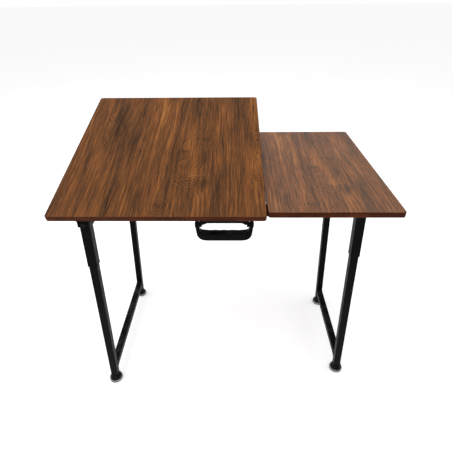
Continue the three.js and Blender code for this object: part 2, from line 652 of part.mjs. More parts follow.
/** The pivot pin through a bracket and a leg top, with a head at each end. */
function pivotPin(pivotZ, legY) {
  const cheekOuter = UPPER_TUBE / 2 + BRACKET_SIDE_GAP + PLATE;
  const end = cheekOuter + GAP;
  return join(
    barY(PIVOT_PIN_RADIUS, legY - end - PIVOT_PIN_TAIL, legY + end + PIVOT_PIN_TAIL, pivotX, pivotZ),
    barY(PIVOT_PIN_HEAD, legY - end - PLATE, legY - end, pivotX, pivotZ),
    barY(PIVOT_PIN_HEAD, legY + end, legY + end + PLATE, pivotX, pivotZ),
  );
}

/** The foot's metal dome with its threaded stem, standing on z = 0 at the pad's top. */
function footDome() {
  const stemTop = FOOT_DOME_HEIGHT + FOOT_STEM_LENGTH;
  const rim = new THREE.Vector2(FOOT_RADIUS, FOOT_RIM);
  const points = [new THREE.Vector2(0, 0), new THREE.Vector2(FOOT_RADIUS, 0), rim];
  const neck = FOOT_STEM_RADIUS + FOOT_NECK_RIM;
  const steps = 5;
  for (let step = 1; step <= steps; step += 1) {
    const angle = (step / steps) * (Math.PI / 2);
    const radius = neck + (FOOT_RADIUS - neck) * Math.cos(angle);
    points.push(new THREE.Vector2(radius, FOOT_RIM + (FOOT_DOME_HEIGHT - FOOT_RIM) * Math.sin(angle)));
  }
  points.push(new THREE.Vector2(FOOT_STEM_RADIUS, FOOT_DOME_HEIGHT));
  points.push(new THREE.Vector2(FOOT_STEM_RADIUS, stemTop));
  points.push(new THREE.Vector2(0, stemTop));
  return new THREE.LatheGeometry(points, 28).rotateX(Math.PI / 2);
}

/** The rubber pad under a foot. */
function footPad() {
  const points = [
    new THREE.Vector2(0, 0),
    new THREE.Vector2(FOOT_RADIUS - 2, 0),
    new THREE.Vector2(FOOT_RADIUS - 1, 1),
    new THREE.Vector2(FOOT_RADIUS - 1, FOOT_PAD_THICKNESS),
    new THREE.Vector2(0, FOOT_PAD_THICKNESS),
  ];
  return new THREE.LatheGeometry(points, 28).rotateX(Math.PI / 2);
}

/** Adds one side's leg frame. The sign is -1 on the left and +1 on the right. */
function addLegFrame(side, sign, spread, pivotZ, hanging) {
  const frame = new THREE.Group();
  frame.position.set(sign * pivotX, 0, pivotZ);
  frame.rotation.y = -sign * splay;
  table.add(frame);

  const alongLeg = (height) => -(pivotZ - height) / Math.cos(splay);
  const upperEnd = alongLeg(UPPER_TUBE_END);
  const lowerTop = upperEnd + TUBE_ENGAGEMENT;
  const lowerEnd = alongLeg(footTopZ + LEG_END_ABOVE_DOME);
  const barHalf = (tube) => spread / 2 - tube / 2 - GAP;

  for (const [end, legY] of [["front", -spread / 2], ["rear", spread / 2]]) {
    const name = `${side}_${end}`;
    const bracket = legBracket(pivotZ, legY, hanging);
    addPiece(table, `${name}_leg_bracket`, sign > 0 ? bracket : bracket.mirror([1, 0, 0]), finish.blackSteel);
    const pin = pivotPin(pivotZ, legY);
    addPiece(table, `${name}_pivot_pin`, sign > 0 ? pin : pin.mirror([1, 0, 0]), finish.zincSteel);
    addPiece(frame, `${name}_upper_leg`, upperLeg(-upperEnd, legY), finish.blackSteel);
    addPiece(frame, `${name}_collar`, collar(upperEnd, legY), finish.blackPlastic);
    addPiece(frame, `${name}_lower_leg`, lowerLeg(lowerTop, lowerEnd, legY), finish.blackSteel);
    const screw = addPiece(frame, `${name}_clamp_screw`, clampScrew(), finish.blackPlastic);
    screw.position.set(0, legY, upperEnd + CLAMP_ABOVE_END);

    const footX = sign * (pivotX + (pivotZ - footTopZ) * Math.tan(splay));
    const dome = addPiece(table, `${name}_foot_dome`, footDome(), finish.chrome);
    dome.position.set(footX, legY, FOOT_PAD_THICKNESS + GAP);
    const pad = addPiece(table, `${name}_foot_pad`, footPad(), finish.rubber);
    pad.position.set(footX, legY, 0);
  }

  const topBarHalf = barHalf(UPPER_TUBE);
  const topBarZ = -BRACKET_REACH - SWING_GAP - TOP_BAR / 2;
  const topBar = alongY(squareTube(TOP_BAR, TUBE_WALL, 2 * topBarHalf)).translate(0, topBarHalf, topBarZ);

  addPiece(frame, `${side}_top_bar`, topBar, finish.blackSteel);
  const crossbarHalf = barHalf(lowerTube);
  const crossbar = alongY(squareTube(lowerTube, TUBE_WALL, 2 * crossbarHalf));
  const crossbarPlace = crossbar.translate(0, crossbarHalf, alongLeg(CROSSBAR_HEIGHT));
  addPiece(frame, `${side}_crossbar`, crossbarPlace, finish.blackSteel);
}

addLegFrame("left", -1, leftLegSpread, leftPivotZ, true);
addLegFrame("right", 1, rightLegSpread, rightPivotZ, false);

// The tilted board's front edge reaches a little further forward than the right board, so the whole
// table moves back until its outer box is centred on the origin.
const boardFront = new THREE.Vector2(-HINGE_SETBACK, HINGE_DROP + BOARD_THICKNESS)
  .rotateAround(new THREE.Vector2(), tilt);
table.position.y = -(hingeY + boardFront.x + TABLE_DEPTH / 2) / 2;

const sewingTable = new THREE.Group();
sewingTable.add(table);

export default sewingTable;
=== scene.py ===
"""Fine shapes and finishes of a portable sewing table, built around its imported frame.

Lengths are metres, with +Z up and +Y to the back, as in the frame. Each sub-assembly is a class that
takes its places from the frame's nodes, builds its meshes there and dresses them with procedural finishes.
"""

import json
import logging
import math
from collections.abc import Callable, Iterable, Sequence
from dataclasses import dataclass, field
from enum import Enum
from typing import Any

import bmesh
import bpy
from mathutils import Matrix, Vector
from mathutils.geometry import convex_hull_2d

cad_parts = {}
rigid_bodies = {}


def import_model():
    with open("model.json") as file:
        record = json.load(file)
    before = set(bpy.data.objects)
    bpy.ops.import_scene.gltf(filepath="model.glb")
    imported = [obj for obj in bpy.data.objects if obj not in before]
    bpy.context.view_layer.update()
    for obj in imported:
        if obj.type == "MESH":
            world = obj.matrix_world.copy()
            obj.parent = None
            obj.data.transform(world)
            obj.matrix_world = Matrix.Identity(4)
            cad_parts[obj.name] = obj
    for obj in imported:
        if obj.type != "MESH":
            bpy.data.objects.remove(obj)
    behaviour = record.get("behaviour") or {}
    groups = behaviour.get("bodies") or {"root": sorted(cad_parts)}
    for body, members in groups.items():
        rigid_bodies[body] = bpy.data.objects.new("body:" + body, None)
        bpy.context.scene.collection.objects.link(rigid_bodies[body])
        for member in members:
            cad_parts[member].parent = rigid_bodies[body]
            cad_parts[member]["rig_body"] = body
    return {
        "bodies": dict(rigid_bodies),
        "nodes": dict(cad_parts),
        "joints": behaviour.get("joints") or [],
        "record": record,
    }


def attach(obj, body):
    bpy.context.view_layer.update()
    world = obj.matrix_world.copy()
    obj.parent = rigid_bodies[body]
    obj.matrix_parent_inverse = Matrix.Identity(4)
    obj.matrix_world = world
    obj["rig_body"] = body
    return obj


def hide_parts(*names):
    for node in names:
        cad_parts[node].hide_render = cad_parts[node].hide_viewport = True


LOG = logging.getLogger("sewing_table")
MM = 0.001

Colour = tuple[float, float, float, float]
Sockets = dict[str, bpy.types.NodeSocket]
Point2 = tuple[float, float]


class Side(Enum):
    """The two ends of the table, with the sign of their X."""

    LEFT = -1
    RIGHT = 1

    @property
    def word(self) -> str:
        """The side's word in node names."""
        return self.name.lower()


class End(Enum):
    """The front and rear leg of a leg frame, with the sign of their Y."""

    FRONT = -1
    REAR = 1

    @property
    def word(self) -> str:
        """The end's word in node names."""
        return self.name.lower()


class Slot(Enum):
    """The record's material slots."""

    LAMINATE = "laminate"
    EDGING = "edging"
    BLACK_STEEL = "black_steel"
    ZINC_STEEL = "zinc_steel"
    CHROME = "chrome"
    BLACK_PLASTIC = "black_plastic"
    RUBBER = "rubber"


def paint(code: str) -> Colour:
    """Turns a display colour into a linear one.

    Args:
        code: Six hexadecimal digits, red first.

    Returns:
        Red, green, blue and an opaque alpha.
    """
    channels = [int(code[start:start + 2], 16) / 255 for start in (0, 2, 4)]
    linear = [value / 12.92 if value <= 0.04045 else ((value + 0.055) / 1.055) ** 2.4 for value in channels]
    return (linear[0], linear[1], linear[2], 1.0)


# ----------------------------------------------------------------------------------------------
# Node wiring
# ----------------------------------------------------------------------------------------------


class Wiring:
    """Adds nodes to one tree and feeds their inputs from sockets or plain values."""

    def __init__(self, tree: bpy.types.NodeTree) -> None:
        """Keeps the tree that the nodes go into."""
        self.tree = tree

    def node(self, kind: str, inputs: dict[str | int, Any] | None = None, **settings: Any) -> bpy.types.Node:
        """Adds a node.

        Args:
            kind: The node's type name.
            inputs: A socket or value for each input, by name or number.
            settings: The node's own properties.

        Returns:
            The new node.
        """
        made = self.tree.nodes.new(kind)
        for name, value in settings.items():
            setattr(made, name, value)
        for key, value in (inputs or {}).items():
            self.feed(made.inputs[key], value)
        return made

    def feed(self, socket: bpy.types.NodeSocket, value: Any) -> None:
        """Links a socket to an input, or sets the input to a plain value."""
        if isinstance(value, bpy.types.NodeSocket):
            self.tree.links.new(value, socket)
        else:
            socket.default_value = value

    def math(self, operation: str, *values: Any, clamp: bool = False) -> bpy.types.NodeSocket:
        """Adds a Math node and gives its result."""
        made = self.node("ShaderNodeMath", dict(enumerate(values)), operation=operation, use_clamp=clamp)
        return made.outputs[0]

    def vector(self, operation: str, *values: Any) -> bpy.types.NodeSocket:
        """Adds a Vector Math node and gives its vector, or its value for a length."""
        made = self.node("ShaderNodeVectorMath", dict(enumerate(values)), operation=operation)
        return made.outputs["Value" if operation in ("LENGTH", "DOT_PRODUCT") else "Vector"]

    def noise(self, vector: Any, scale: Sequence[float], detail: float = 2.0,
              roughness: float = 0.5) -> bpy.types.NodeSocket:
        """Adds noise that is stretched by its scale along each axis.

        Args:
            vector: The coordinates.
            scale: Cells to the metre along X, Y and Z.
            detail: Octaves.
            roughness: How strong the finer octaves are.

        Returns:
            The noise value, about 0.5 on average.
        """
        stretched = self.vector("MULTIPLY", vector, tuple(scale))
        inputs = {"Vector": stretched, "Scale": 1.0, "Detail": detail, "Roughness": roughness}
        return self.node("ShaderNodeTexNoise", inputs).outputs[0]

    def smooth_step(self, value: Any, low: float, high: float, start: float = 0.0,
                    end: float = 1.0) -> bpy.types.NodeSocket:
        """Maps a value smoothly from low..high to start..end."""
        inputs = {"Value": value, "From Min": low, "From Max": high, "To Min": start, "To Max": end}
        return self.node("ShaderNodeMapRange", inputs, interpolation_type="SMOOTHSTEP").outputs[0]

    def mix(self, factor: Any, first: Any, second: Any, blend: str = "MIX") -> bpy.types.NodeSocket:
        """Mixes two colours and gives the result."""
        made = self.node("ShaderNodeMix", data_type="RGBA", blend_type=blend)
        for number, value in ((0, factor), (6, first), (7, second)):
            self.feed(made.inputs[number], value)
        return made.outputs[2]

    def ramp(self, factor: Any, stops: Sequence[tuple[float, Colour]]) -> bpy.types.NodeSocket:
        """Adds a colour ramp with these stops and gives its colour."""
        made = self.node("ShaderNodeValToRGB", {"Fac": factor})
        elements = made.color_ramp.elements
        while len(elements) < len(stops):
            elements.new(1.0)
        for element, (position, colour) in zip(elements, stops):
            element.position = position
            element.color = colour
        return made.outputs["Color"]

    def object_coordinates(self) -> bpy.types.NodeSocket:
        """The object's own coordinates, which are the shared frame's."""
        return self.node("ShaderNodeTexCoord").outputs["Object"]


@dataclass(frozen=True)
class Effect:
    """A shader node group that is built once and used in several finishes."""

    name: str
    inputs: dict[str, tuple[str, Any]]
    outputs: dict[str, str]
    wire: Callable[[Wiring, Sockets], Sockets]

    def tree(self) -> bpy.types.ShaderNodeTree:
        """Gives the group's tree, which is built the first time."""
        found = bpy.data.node_groups.get(self.name)
        if found:
            return found
        tree = bpy.data.node_groups.new(self.name, "ShaderNodeTree")
        for label, (kind, value) in self.inputs.items():
            socket = tree.interface.new_socket(label, in_out="INPUT", socket_type=kind)
            if value is not None:
                socket.default_value = value
        for label, kind in self.outputs.items():
            tree.interface.new_socket(label, in_out="OUTPUT", socket_type=kind)
        wiring = Wiring(tree)
        given = wiring.node("NodeGroupInput")
        results = self.wire(wiring, {label: given.outputs[label] for label in self.inputs})
        wiring.node("NodeGroupOutput", dict(results))
        return tree

    def place(self, wiring: Wiring, **values: Any) -> bpy.types.Node:
        """Places the group in a material or another group, with its own values."""
        made = wiring.node("ShaderNodeGroup", node_tree=self.tree())
        for label, value in values.items():
            wiring.feed(made.inputs[label], value)
        return made


VALUE = "NodeSocketFloat"
VECTOR = "NodeSocketVector"
COLOUR = "NodeSocketColor"


def wire_soft_spot(wiring: Wiring, given: Sockets) -> Sockets:
    """Wires a bell-shaped spot with closed rings round its centre."""
    offset = wiring.vector("SUBTRACT", given["Vector"], given["Centre"])
    distance = wiring.vector("LENGTH", wiring.vector("DIVIDE", offset, given["Size"]))
    square = wiring.math("MULTIPLY", distance, distance)
    falloff = wiring.math("EXPONENT", wiring.math("MULTIPLY", square, -1.0))
    core = wiring.smooth_step(distance, 0.42, 0.06)
    ripple = wiring.noise(given["Vector"], (55, 40, 1), 3.0, 0.6)
    uneven = wiring.math("MULTIPLY_ADD", ripple, 2.6, distance)
    turns = wiring.math("MULTIPLY_ADD", wiring.math("POWER", distance, 0.8), given["Rings"], uneven)
    closed = wiring.smooth_step(distance, 1.15, 0.80)
    return {"Falloff": falloff, "Core": core, "Ring": turns, "Closed": closed}


SOFT_SPOT = Effect(
    "soft_spot",
    {
        "Vector": (VECTOR, None),
        "Centre": (VECTOR, (0, 0, 0)),
        "Size": (VECTOR, (1, 1, 1)),
        "Rings": (VALUE, 3.0),
    },
    {"Falloff": VALUE, "Core": VALUE, "Ring": VALUE, "Closed": VALUE},
    wire_soft_spot,
)


def wire_crack(wiring: Wiring, given: Sockets) -> Sockets:
    """Wires a thin line along Y between two ends, leaning a little to one side."""
    parts = wiring.node("ShaderNodeSeparateXYZ", {"Vector": given["Vector"]})
    run = wiring.math("SUBTRACT", parts.outputs["Y"], given["From"])
    line = wiring.math("MULTIPLY_ADD", run, given["Lean"], given["Across"])
    distance = wiring.math("ABSOLUTE", wiring.math("SUBTRACT", parts.outputs["X"], line))
    share = wiring.math("DIVIDE", distance, given["Width"])
    thin = wiring.smooth_step(share, 1.0, 0.2)
    total = wiring.math("SUBTRACT", given["To"], given["From"])
    along = wiring.math("DIVIDE", run, total)
    start = wiring.smooth_step(along, 0.0, 0.15)
    end = wiring.smooth_step(along, 1.0, 0.85)
    return {"Mask": wiring.math("MULTIPLY", thin, wiring.math("MULTIPLY", start, end))}


CRACK = Effect(
    "crack",
    {
        "Vector": (VECTOR, None),
        "Across": (VALUE, 0.0),
        "From": (VALUE, 0.0),
        "To": (VALUE, 1.0),
        "Width": (VALUE, 0.001),
        "Lean": (VALUE, 0.0),
    },
    {"Mask": VALUE},
    wire_crack,
)


def wire_edge_wear(wiring: Wiring, given: Sockets) -> Sockets:
    """Wires a mask that is high along outer edges, broken up by noise."""
    rounded = wiring.node("ShaderNodeBevel", {"Radius": given["Radius"]}, samples=4)
    true_normal = wiring.node("ShaderNodeNewGeometry").outputs["True Normal"]
    likeness = wiring.vector("DOT_PRODUCT", rounded.outputs["Normal"], true_normal)
    edge = wiring.smooth_step(likeness, 0.995, 0.80)
    patches = wiring.smooth_step(wiring.noise(given["Vector"], (60, 60, 60), 4.0, 0.6), 0.40, 0.65)
    worn = wiring.math("MULTIPLY", edge, patches)
    return {"Mask": wiring.math("MULTIPLY", worn, given["Amount"], clamp=True)}


EDGE_WEAR = Effect(
    "edge_wear",
    {"Vector": (VECTOR, None), "Radius": (VALUE, 0.001), "Amount": (VALUE, 0.5)},
    {"Mask": VALUE},
    wire_edge_wear,
)


def wire_settled_dust(wiring: Wiring, given: Sockets) -> Sockets:
    """Wires a mask of fine dust on faces that look up."""
    normal = wiring.node("ShaderNodeNewGeometry").outputs["Normal"]
    up = wiring.node("ShaderNodeSeparateXYZ", {"Vector": normal}).outputs["Z"]
    facing = wiring.smooth_step(up, 0.5, 1.0)
    cloud = wiring.smooth_step(wiring.noise(given["Vector"], (22, 22, 22), 5.0, 0.65), 0.38, 0.75)
    return {"Mask": wiring.math("MULTIPLY", wiring.math("MULTIPLY", facing, cloud), given["Amount"])}


SETTLED_DUST = Effect(
    "settled_dust",
    {"Vector": (VECTOR, None), "Amount": (VALUE, 0.2)},
    {"Mask": VALUE},
    wire_settled_dust,
)


def wire_pebbled(wiring: Wiring, given: Sockets) -> Sockets:
    """Wires a fine pebbled surface: small rounded cells and a slow mottle."""
    cells = wiring.vector("SCALE", given["Vector"])
    wiring.feed(cells.node.inputs["Scale"], given["Fineness"])
    pebbles = wiring.node("ShaderNodeTexNoise", {"Vector": cells, "Scale": 1.0, "Detail": 1.5}).outputs[0]
    mottle = wiring.noise(given["Vector"], (35, 35, 35), 3.0, 0.55)
    return {"Height": pebbles, "Mottle": wiring.smooth_step(mottle, 0.3, 0.7)}


PEBBLED = Effect(
    "pebbled",
    {"Vector": (VECTOR, None), "Fineness": (VALUE, 900.0)},
    {"Height": VALUE, "Mottle": VALUE},
    wire_pebbled,
)


# ----------------------------------------------------------------------------------------------
# The printed walnut sheet
# ----------------------------------------------------------------------------------------------


@dataclass(frozen=True)
class Knot:
    """A knot in the print: its place, its spread, the rings round it, its dark middle, closed or open."""

    across: float
    along: float
    width: float
    length: float
    rings: float
    core: float
    closed: bool


@dataclass(frozen=True)
class Stain:
    """A soft patch of the print that is darker or warmer than the rest."""

    across: float
    along: float
    width: float
    length: float
    shift: float


@dataclass(frozen=True)
class Fissure:
    """A thin dark line of the print along the grain."""

    across: float
    start: float
    end: float
    lean: float
    width: float
    strength: float


@dataclass(frozen=True)
class GrainLayer:
    """A layer of noise in the print: its cells to the metre, its octaves, and how far it shifts the tone."""

    scale: tuple[float, float, float]
    detail: float
    roughness: float
    shift: float


KNOTS = (
    Knot(0.281, 0.040, 0.040, 0.038, 3.6, 0.30, True),
    Knot(0.348, 0.140, 0.064, 0.044, 3.4, 0.06, True),
    Knot(0.303, 0.205, 0.034, 0.042, 4.6, 0.00, False),
    Knot(0.390, 0.337, 0.042, 0.034, 2.8, 0.55, True),
    Knot(0.316, 0.300, 0.020, 0.060, 3.6, 0.00, False),
    Knot(0.538, 0.151, 0.020, 0.034, 2.0, 0.40, True),
    Knot(0.546, 0.300, 0.019, 0.100, 2.6, 0.00, True),
    Knot(0.062, 0.470, 0.016, 0.042, 2.6, 0.00, False),
)
STAINS = (
    Stain(0.105, 0.400, 0.030, 0.150, -0.17),
    Stain(0.165, 0.330, 0.024, 0.110, -0.14),
    Stain(0.190, 0.500, 0.020, 0.080, -0.11),
    Stain(0.360, 0.500, 0.040, 0.110, -0.14),
    Stain(0.472, 0.390, 0.015, 0.110, -0.17),
    Stain(0.386, 0.126, 0.020, 0.026, -0.23),
    Stain(0.420, 0.090, 0.016, 0.120, -0.12),
    Stain(0.110, 0.080, 0.018, 0.070, -0.14),
    Stain(0.225, 0.060, 0.018, 0.060, -0.12),
    Stain(0.250, 0.490, 0.022, 0.120, 0.14),
    Stain(0.030, 0.120, 0.030, 0.120, 0.11),
    Stain(0.165, 0.035, 0.010, 0.070, 0.12),
    Stain(0.362, 0.165, 0.024, 0.022, 0.17),
    Stain(0.444, 0.130, 0.011, 0.110, 0.13),
    Stain(0.515, 0.230, 0.022, 0.200, 0.09),
    Stain(0.300, 0.100, 0.030, 0.050, 0.07),
)
FISSURES = (
    Fissure(0.292, 0.215, 0.620, 0.030, 0.0022, 0.85),
    Fissure(0.233, 0.150, 0.440, -0.037, 0.0014, 0.70),
    Fissure(0.147, -0.010, 0.135, 0.130, 0.0022, 0.85),
    Fissure(0.415, 0.165, 0.290, -0.030, 0.0022, 0.80),
    Fissure(0.432, -0.020, 0.640, 0.000, 0.0010, 0.40),
    Fissure(0.128, 0.350, 0.600, 0.020, 0.0012, 0.55),
    Fissure(0.205, 0.300, 0.560, 0.010, 0.0010, 0.45),
)
GRAIN_LAYERS = (
    GrainLayer((15, 2.0, 1), 2.0, 0.5, 0.95),
    GrainLayer((44, 2.6, 1), 3.0, 0.6, 0.80),
    GrainLayer((150, 7, 1), 4.0, 0.7, 1.35),
    GrainLayer((420, 24, 1), 3.0, 0.7, 0.65),
)
MEAN_TONE = 0.515
PORE_SHIFT = -0.14
RING_LINE_SHIFT = -0.20
RING_LINE_SHIFT_AT_KNOTS = -0.26
KNOT_CORE_SHIFT = -0.36
GRAIN_LINES_PER_METRE = 115.0
LATE_WOOD_SHARPNESS = 2.4
WALNUT = (
    (0.00, paint("352317")),
    (0.24, paint("4f3521")),
    (0.45, paint("6a4327")),
    (0.62, paint("7f4f2b")),
    (0.80, paint("946033")),
    (1.00, paint("ab7845")),
)


def wire_wood_print(wiring: Wiring, given: Sockets) -> Sockets:
    """Wires the printed grain: lines that bend round knots, streaks, stains and cracks."""
    sheet = given["Vector"]
    drift = wiring.math("SUBTRACT", wiring.noise(sheet, (7, 1.6, 1), 2.0), 0.5)
    shake = wiring.math("SUBTRACT", wiring.noise(sheet, (60, 22, 1), 2.0), 0.5)
    sway = wiring.math("MULTIPLY_ADD", shake, 0.0035, wiring.math("MULTIPLY", drift, 0.022))
    push = wiring.node("ShaderNodeCombineXYZ", {"X": sway}).outputs[0]
    grain = wiring.vector("ADD", sheet, push)
    across = wiring.node("ShaderNodeSeparateXYZ", {"Vector": grain}).outputs["X"]

    spots = [SOFT_SPOT.place(wiring, Vector=grain, Centre=(knot.across, knot.along, 0),
                             Size=(knot.width, knot.length, 1), Rings=knot.rings) for knot in KNOTS]
    bend: Any = 0.0
    near: Any = 0.0
    cores: Any = 0.0
    for knot, spot in zip(KNOTS, spots):
        bend = wiring.math("MULTIPLY_ADD", spot.outputs["Falloff"], knot.rings, bend)
        near = wiring.math("MAXIMUM", spot.outputs["Falloff"], near)
        cores = wiring.math("MULTIPLY_ADD", spot.outputs["Core"], knot.core, cores)

    spread = wiring.noise(grain, (16, 0.9, 1), 2.0)
    bent = wiring.math("MULTIPLY_ADD", spread, 7.0, bend)
    phase = wiring.math("MULTIPLY_ADD", across, GRAIN_LINES_PER_METRE, bent)
    for spot in (spot for knot, spot in zip(KNOTS, spots) if knot.closed):
        away = wiring.math("SUBTRACT", spot.outputs["Ring"], phase)
        phase = wiring.math("MULTIPLY_ADD", away, spot.outputs["Closed"], phase)
    late = wiring.math("POWER", wiring.math("FRACT", phase), LATE_WOOD_SHARPNESS)

    layers = [wiring.math("SUBTRACT", wiring.noise(grain, layer.scale, layer.detail, layer.roughness), 0.5)
              for layer in GRAIN_LAYERS]
    fine = layers[-1]
    pores = wiring.smooth_step(wiring.noise(grain, (650, 34, 1), 1.0), 0.60, 0.74)
    tone: Any = MEAN_TONE
    for layer, noise in zip(GRAIN_LAYERS, layers):
        tone = wiring.math("MULTIPLY_ADD", noise, layer.shift, tone)
    tone = wiring.math("MULTIPLY_ADD", pores, PORE_SHIFT, tone)
    for stain in STAINS:
        spot = SOFT_SPOT.place(wiring, Vector=grain, Centre=(stain.across, stain.along, 0),
                               Size=(stain.width, stain.length, 1))
        tone = wiring.math("MULTIPLY_ADD", spot.outputs["Falloff"], stain.shift, tone)
    line_shift = wiring.math("MULTIPLY_ADD", near, RING_LINE_SHIFT_AT_KNOTS, RING_LINE_SHIFT)
    tone = wiring.math("MULTIPLY_ADD", late, line_shift, tone)
    tone = wiring.math("MULTIPLY_ADD", cores, KNOT_CORE_SHIFT, tone)
    colour = wiring.ramp(tone, WALNUT)

    cool = wiring.smooth_step(wiring.noise(grain, (9, 2.4, 1), 1.0), 0.42, 0.72, 0.0, 0.16)
    colour = wiring.mix(cool, colour, wiring.mix(1.0, colour, paint("b9c0a6"), "MULTIPLY"))
    cracks: Any = 0.0
    for fissure in FISSURES:
        line = CRACK.place(wiring, Vector=grain, Across=fissure.across, From=fissure.start, To=fissure.end,
                           Width=fissure.width, Lean=fissure.lean)
        cracks = wiring.math("MULTIPLY_ADD", line.outputs["Mask"], fissure.strength, cracks)
    colour = wiring.mix(wiring.math("MINIMUM", cracks, 1.0), colour, paint("291c16"))
    relief = wiring.math("MULTIPLY_ADD", late, -0.35, wiring.math("MULTIPLY_ADD", fine, 0.9, 0.5))
    relief = wiring.math("SUBTRACT", relief, wiring.math("MULTIPLY", cracks, 0.5))
    return {"Colour": colour, "Relief": relief}


WOOD_PRINT = Effect(
    "wood_print",
    {"Vector": (VECTOR, None)},
    {"Colour": COLOUR, "Relief": VALUE},
    wire_wood_print,
)


# ----------------------------------------------------------------------------------------------
# Finishes
# ----------------------------------------------------------------------------------------------


def new_material(name: str, wire: Callable[[Wiring, bpy.types.Node], None]) -> bpy.types.Material:
    """Makes a material with one shader.

    Args:
        name: The material's name.
        wire: Wires what feeds the shader.

    Returns:
        The new material.
    """
    material = bpy.data.materials.new(name)
    material.use_nodes = True
    material.node_tree.nodes.clear()
    wiring = Wiring(material.node_tree)
    shader = wiring.node("ShaderNodeBsdfPrincipled")
    wiring.node("ShaderNodeOutputMaterial", {"Surface": shader.outputs[0]})
    wire(wiring, shader)
    return material


@dataclass(frozen=True)
class Finish:
    """A procedural material that is made once and shared by its pieces."""

    name: str
    slot: Slot

    def material(self) -> bpy.types.Material:
        """Gives the finish's material, which is built the first time."""
        return bpy.data.materials.get(self.name) or new_material(self.name, self.wire)

    def wire(self, wiring: Wiring, shader: bpy.types.Node) -> None:
        """Wires the finish into its shader; each finish has its own."""
        raise NotImplementedError

    @staticmethod
    def bump(wiring: Wiring, shader: bpy.types.Node, height: Any, strength: float, depth: float) -> None:
        """Feeds a height to the shader's normal through a Bump node."""
        inputs = {"Height": height, "Strength": strength, "Distance": depth}
        wiring.feed(shader.inputs["Normal"], wiring.node("ShaderNodeBump", inputs).outputs[0])


@dataclass(frozen=True)
class Laminate(Finish):
    """Printed walnut laminate, laid on one board from a place on the printed sheet, its print lightened by
    any painted sheen.
    """

    origin: tuple[float, float, float] = (0.0, 0.0, 0.0)
    turn: float = 0.0
    sheet_across: float = 0.0
    gloss_level: float = 0.35
    fading: float = 0.0

    def wire(self, wiring: Wiring, shader: bpy.types.Node) -> None:
        """Wires the print with its painted sheen, its slight relief, hand marks and worn edges."""
        place = {
            "Vector": wiring.object_coordinates(),
            "Location": self.origin,
            "Rotation": (self.turn, 0, 0),
        }
        flat = wiring.node("ShaderNodeMapping", place, vector_type="TEXTURE").outputs[0]
        sheet = wiring.vector("ADD", flat, (self.sheet_across, 0, 0))
        printed = WOOD_PRINT.place(wiring, Vector=sheet)
        wear = EDGE_WEAR.place(wiring, Vector=flat, Radius=0.0012, Amount=0.35)
        # Painted sheen: the print is multiplied lighter by one plus this amount, standing in for the skylight
        # that the level board reflects more than the tilted one.
        lift = 1.0 + self.fading
        sheen_lit_print = wiring.mix(1.0, printed.outputs["Colour"], (lift, 0.98 * lift, 0.94 * lift, 1.0), "MULTIPLY")
        colour = wiring.mix(wear.outputs["Mask"], sheen_lit_print, paint("8a6a50"))
        wiring.feed(shader.inputs["Base Color"], colour)
        handled = wiring.noise(flat, (9, 9, 9), 4.0, 0.6)
        rough = wiring.math("MULTIPLY_ADD", printed.outputs["Relief"], -0.10, 0.50)
        rough = wiring.math("MULTIPLY_ADD", handled, 0.14, rough)
        wiring.feed(shader.inputs["Roughness"], rough)
        shader.inputs["Specular IOR Level"].default_value = self.gloss_level
        self.bump(wiring, shader, printed.outputs["Relief"], 0.35, 0.00012)


@dataclass(frozen=True)
class Backing(Finish):
    """The plain brown balancing paper under a board."""

    gloss_level: float = 0.3

    def wire(self, wiring: Wiring, shader: bpy.types.Node) -> None:
        """Wires a fibrous brown paper with a faint grain."""
        place = wiring.object_coordinates()
        fibres = wiring.noise(place, (260, 60, 60), 4.0, 0.6)
        clouds = wiring.noise(place, (8, 5, 8), 3.0)
        tone = wiring.math("MULTIPLY_ADD", fibres, 0.5, wiring.math("MULTIPLY", clouds, 0.5))
        stops = ((0.30, paint("3b2a20")), (0.50, paint("4a3527")), (0.70, paint("5b4231")))
        wiring.feed(shader.inputs["Base Color"], wiring.ramp(tone, stops))
        wiring.feed(shader.inputs["Roughness"], wiring.math("MULTIPLY_ADD", fibres, 0.2, 0.55))
        shader.inputs["Specular IOR Level"].default_value = self.gloss_level
        self.bump(wiring, shader, fibres, 0.2, 0.0001)


@dataclass(frozen=True)
class EdgeBanding(Finish):
    """The red-brown edge band, with grain that runs along the edge."""

    turn: float = 0.0
    gloss_level: float = 0.05

    def wire(self, wiring: Wiring, shader: bpy.types.Node) -> None:
        """Wires long streaks level with the board, slow patches and a worn arris."""
        place = {"Vector": wiring.object_coordinates(), "Rotation": (self.turn, 0, 0)}
        flat = wiring.node("ShaderNodeMapping", place, vector_type="TEXTURE").outputs[0]
        streaks = wiring.noise(flat, (7, 7, 700), 4.0, 0.6)
        patches = wiring.noise(flat, (18, 18, 60), 3.0, 0.55)
        tone = wiring.math("MULTIPLY_ADD", streaks, 0.6, wiring.math("MULTIPLY", patches, 0.4))
        stops = ((0.34, paint("271007")), (0.50, paint("3f1c0c")), (0.66, paint("5a2d14")))
        wear = EDGE_WEAR.place(wiring, Vector=flat, Radius=0.0016, Amount=0.55)
        colour = wiring.mix(wear.outputs["Mask"], wiring.ramp(tone, stops), paint("6e4026"))
        wiring.feed(shader.inputs["Base Color"], colour)
        wiring.feed(shader.inputs["Roughness"], wiring.math("MULTIPLY_ADD", streaks, 0.25, 0.34))
        shader.inputs["Specular IOR Level"].default_value = self.gloss_level
        self.bump(wiring, shader, streaks, 0.25, 0.00012)


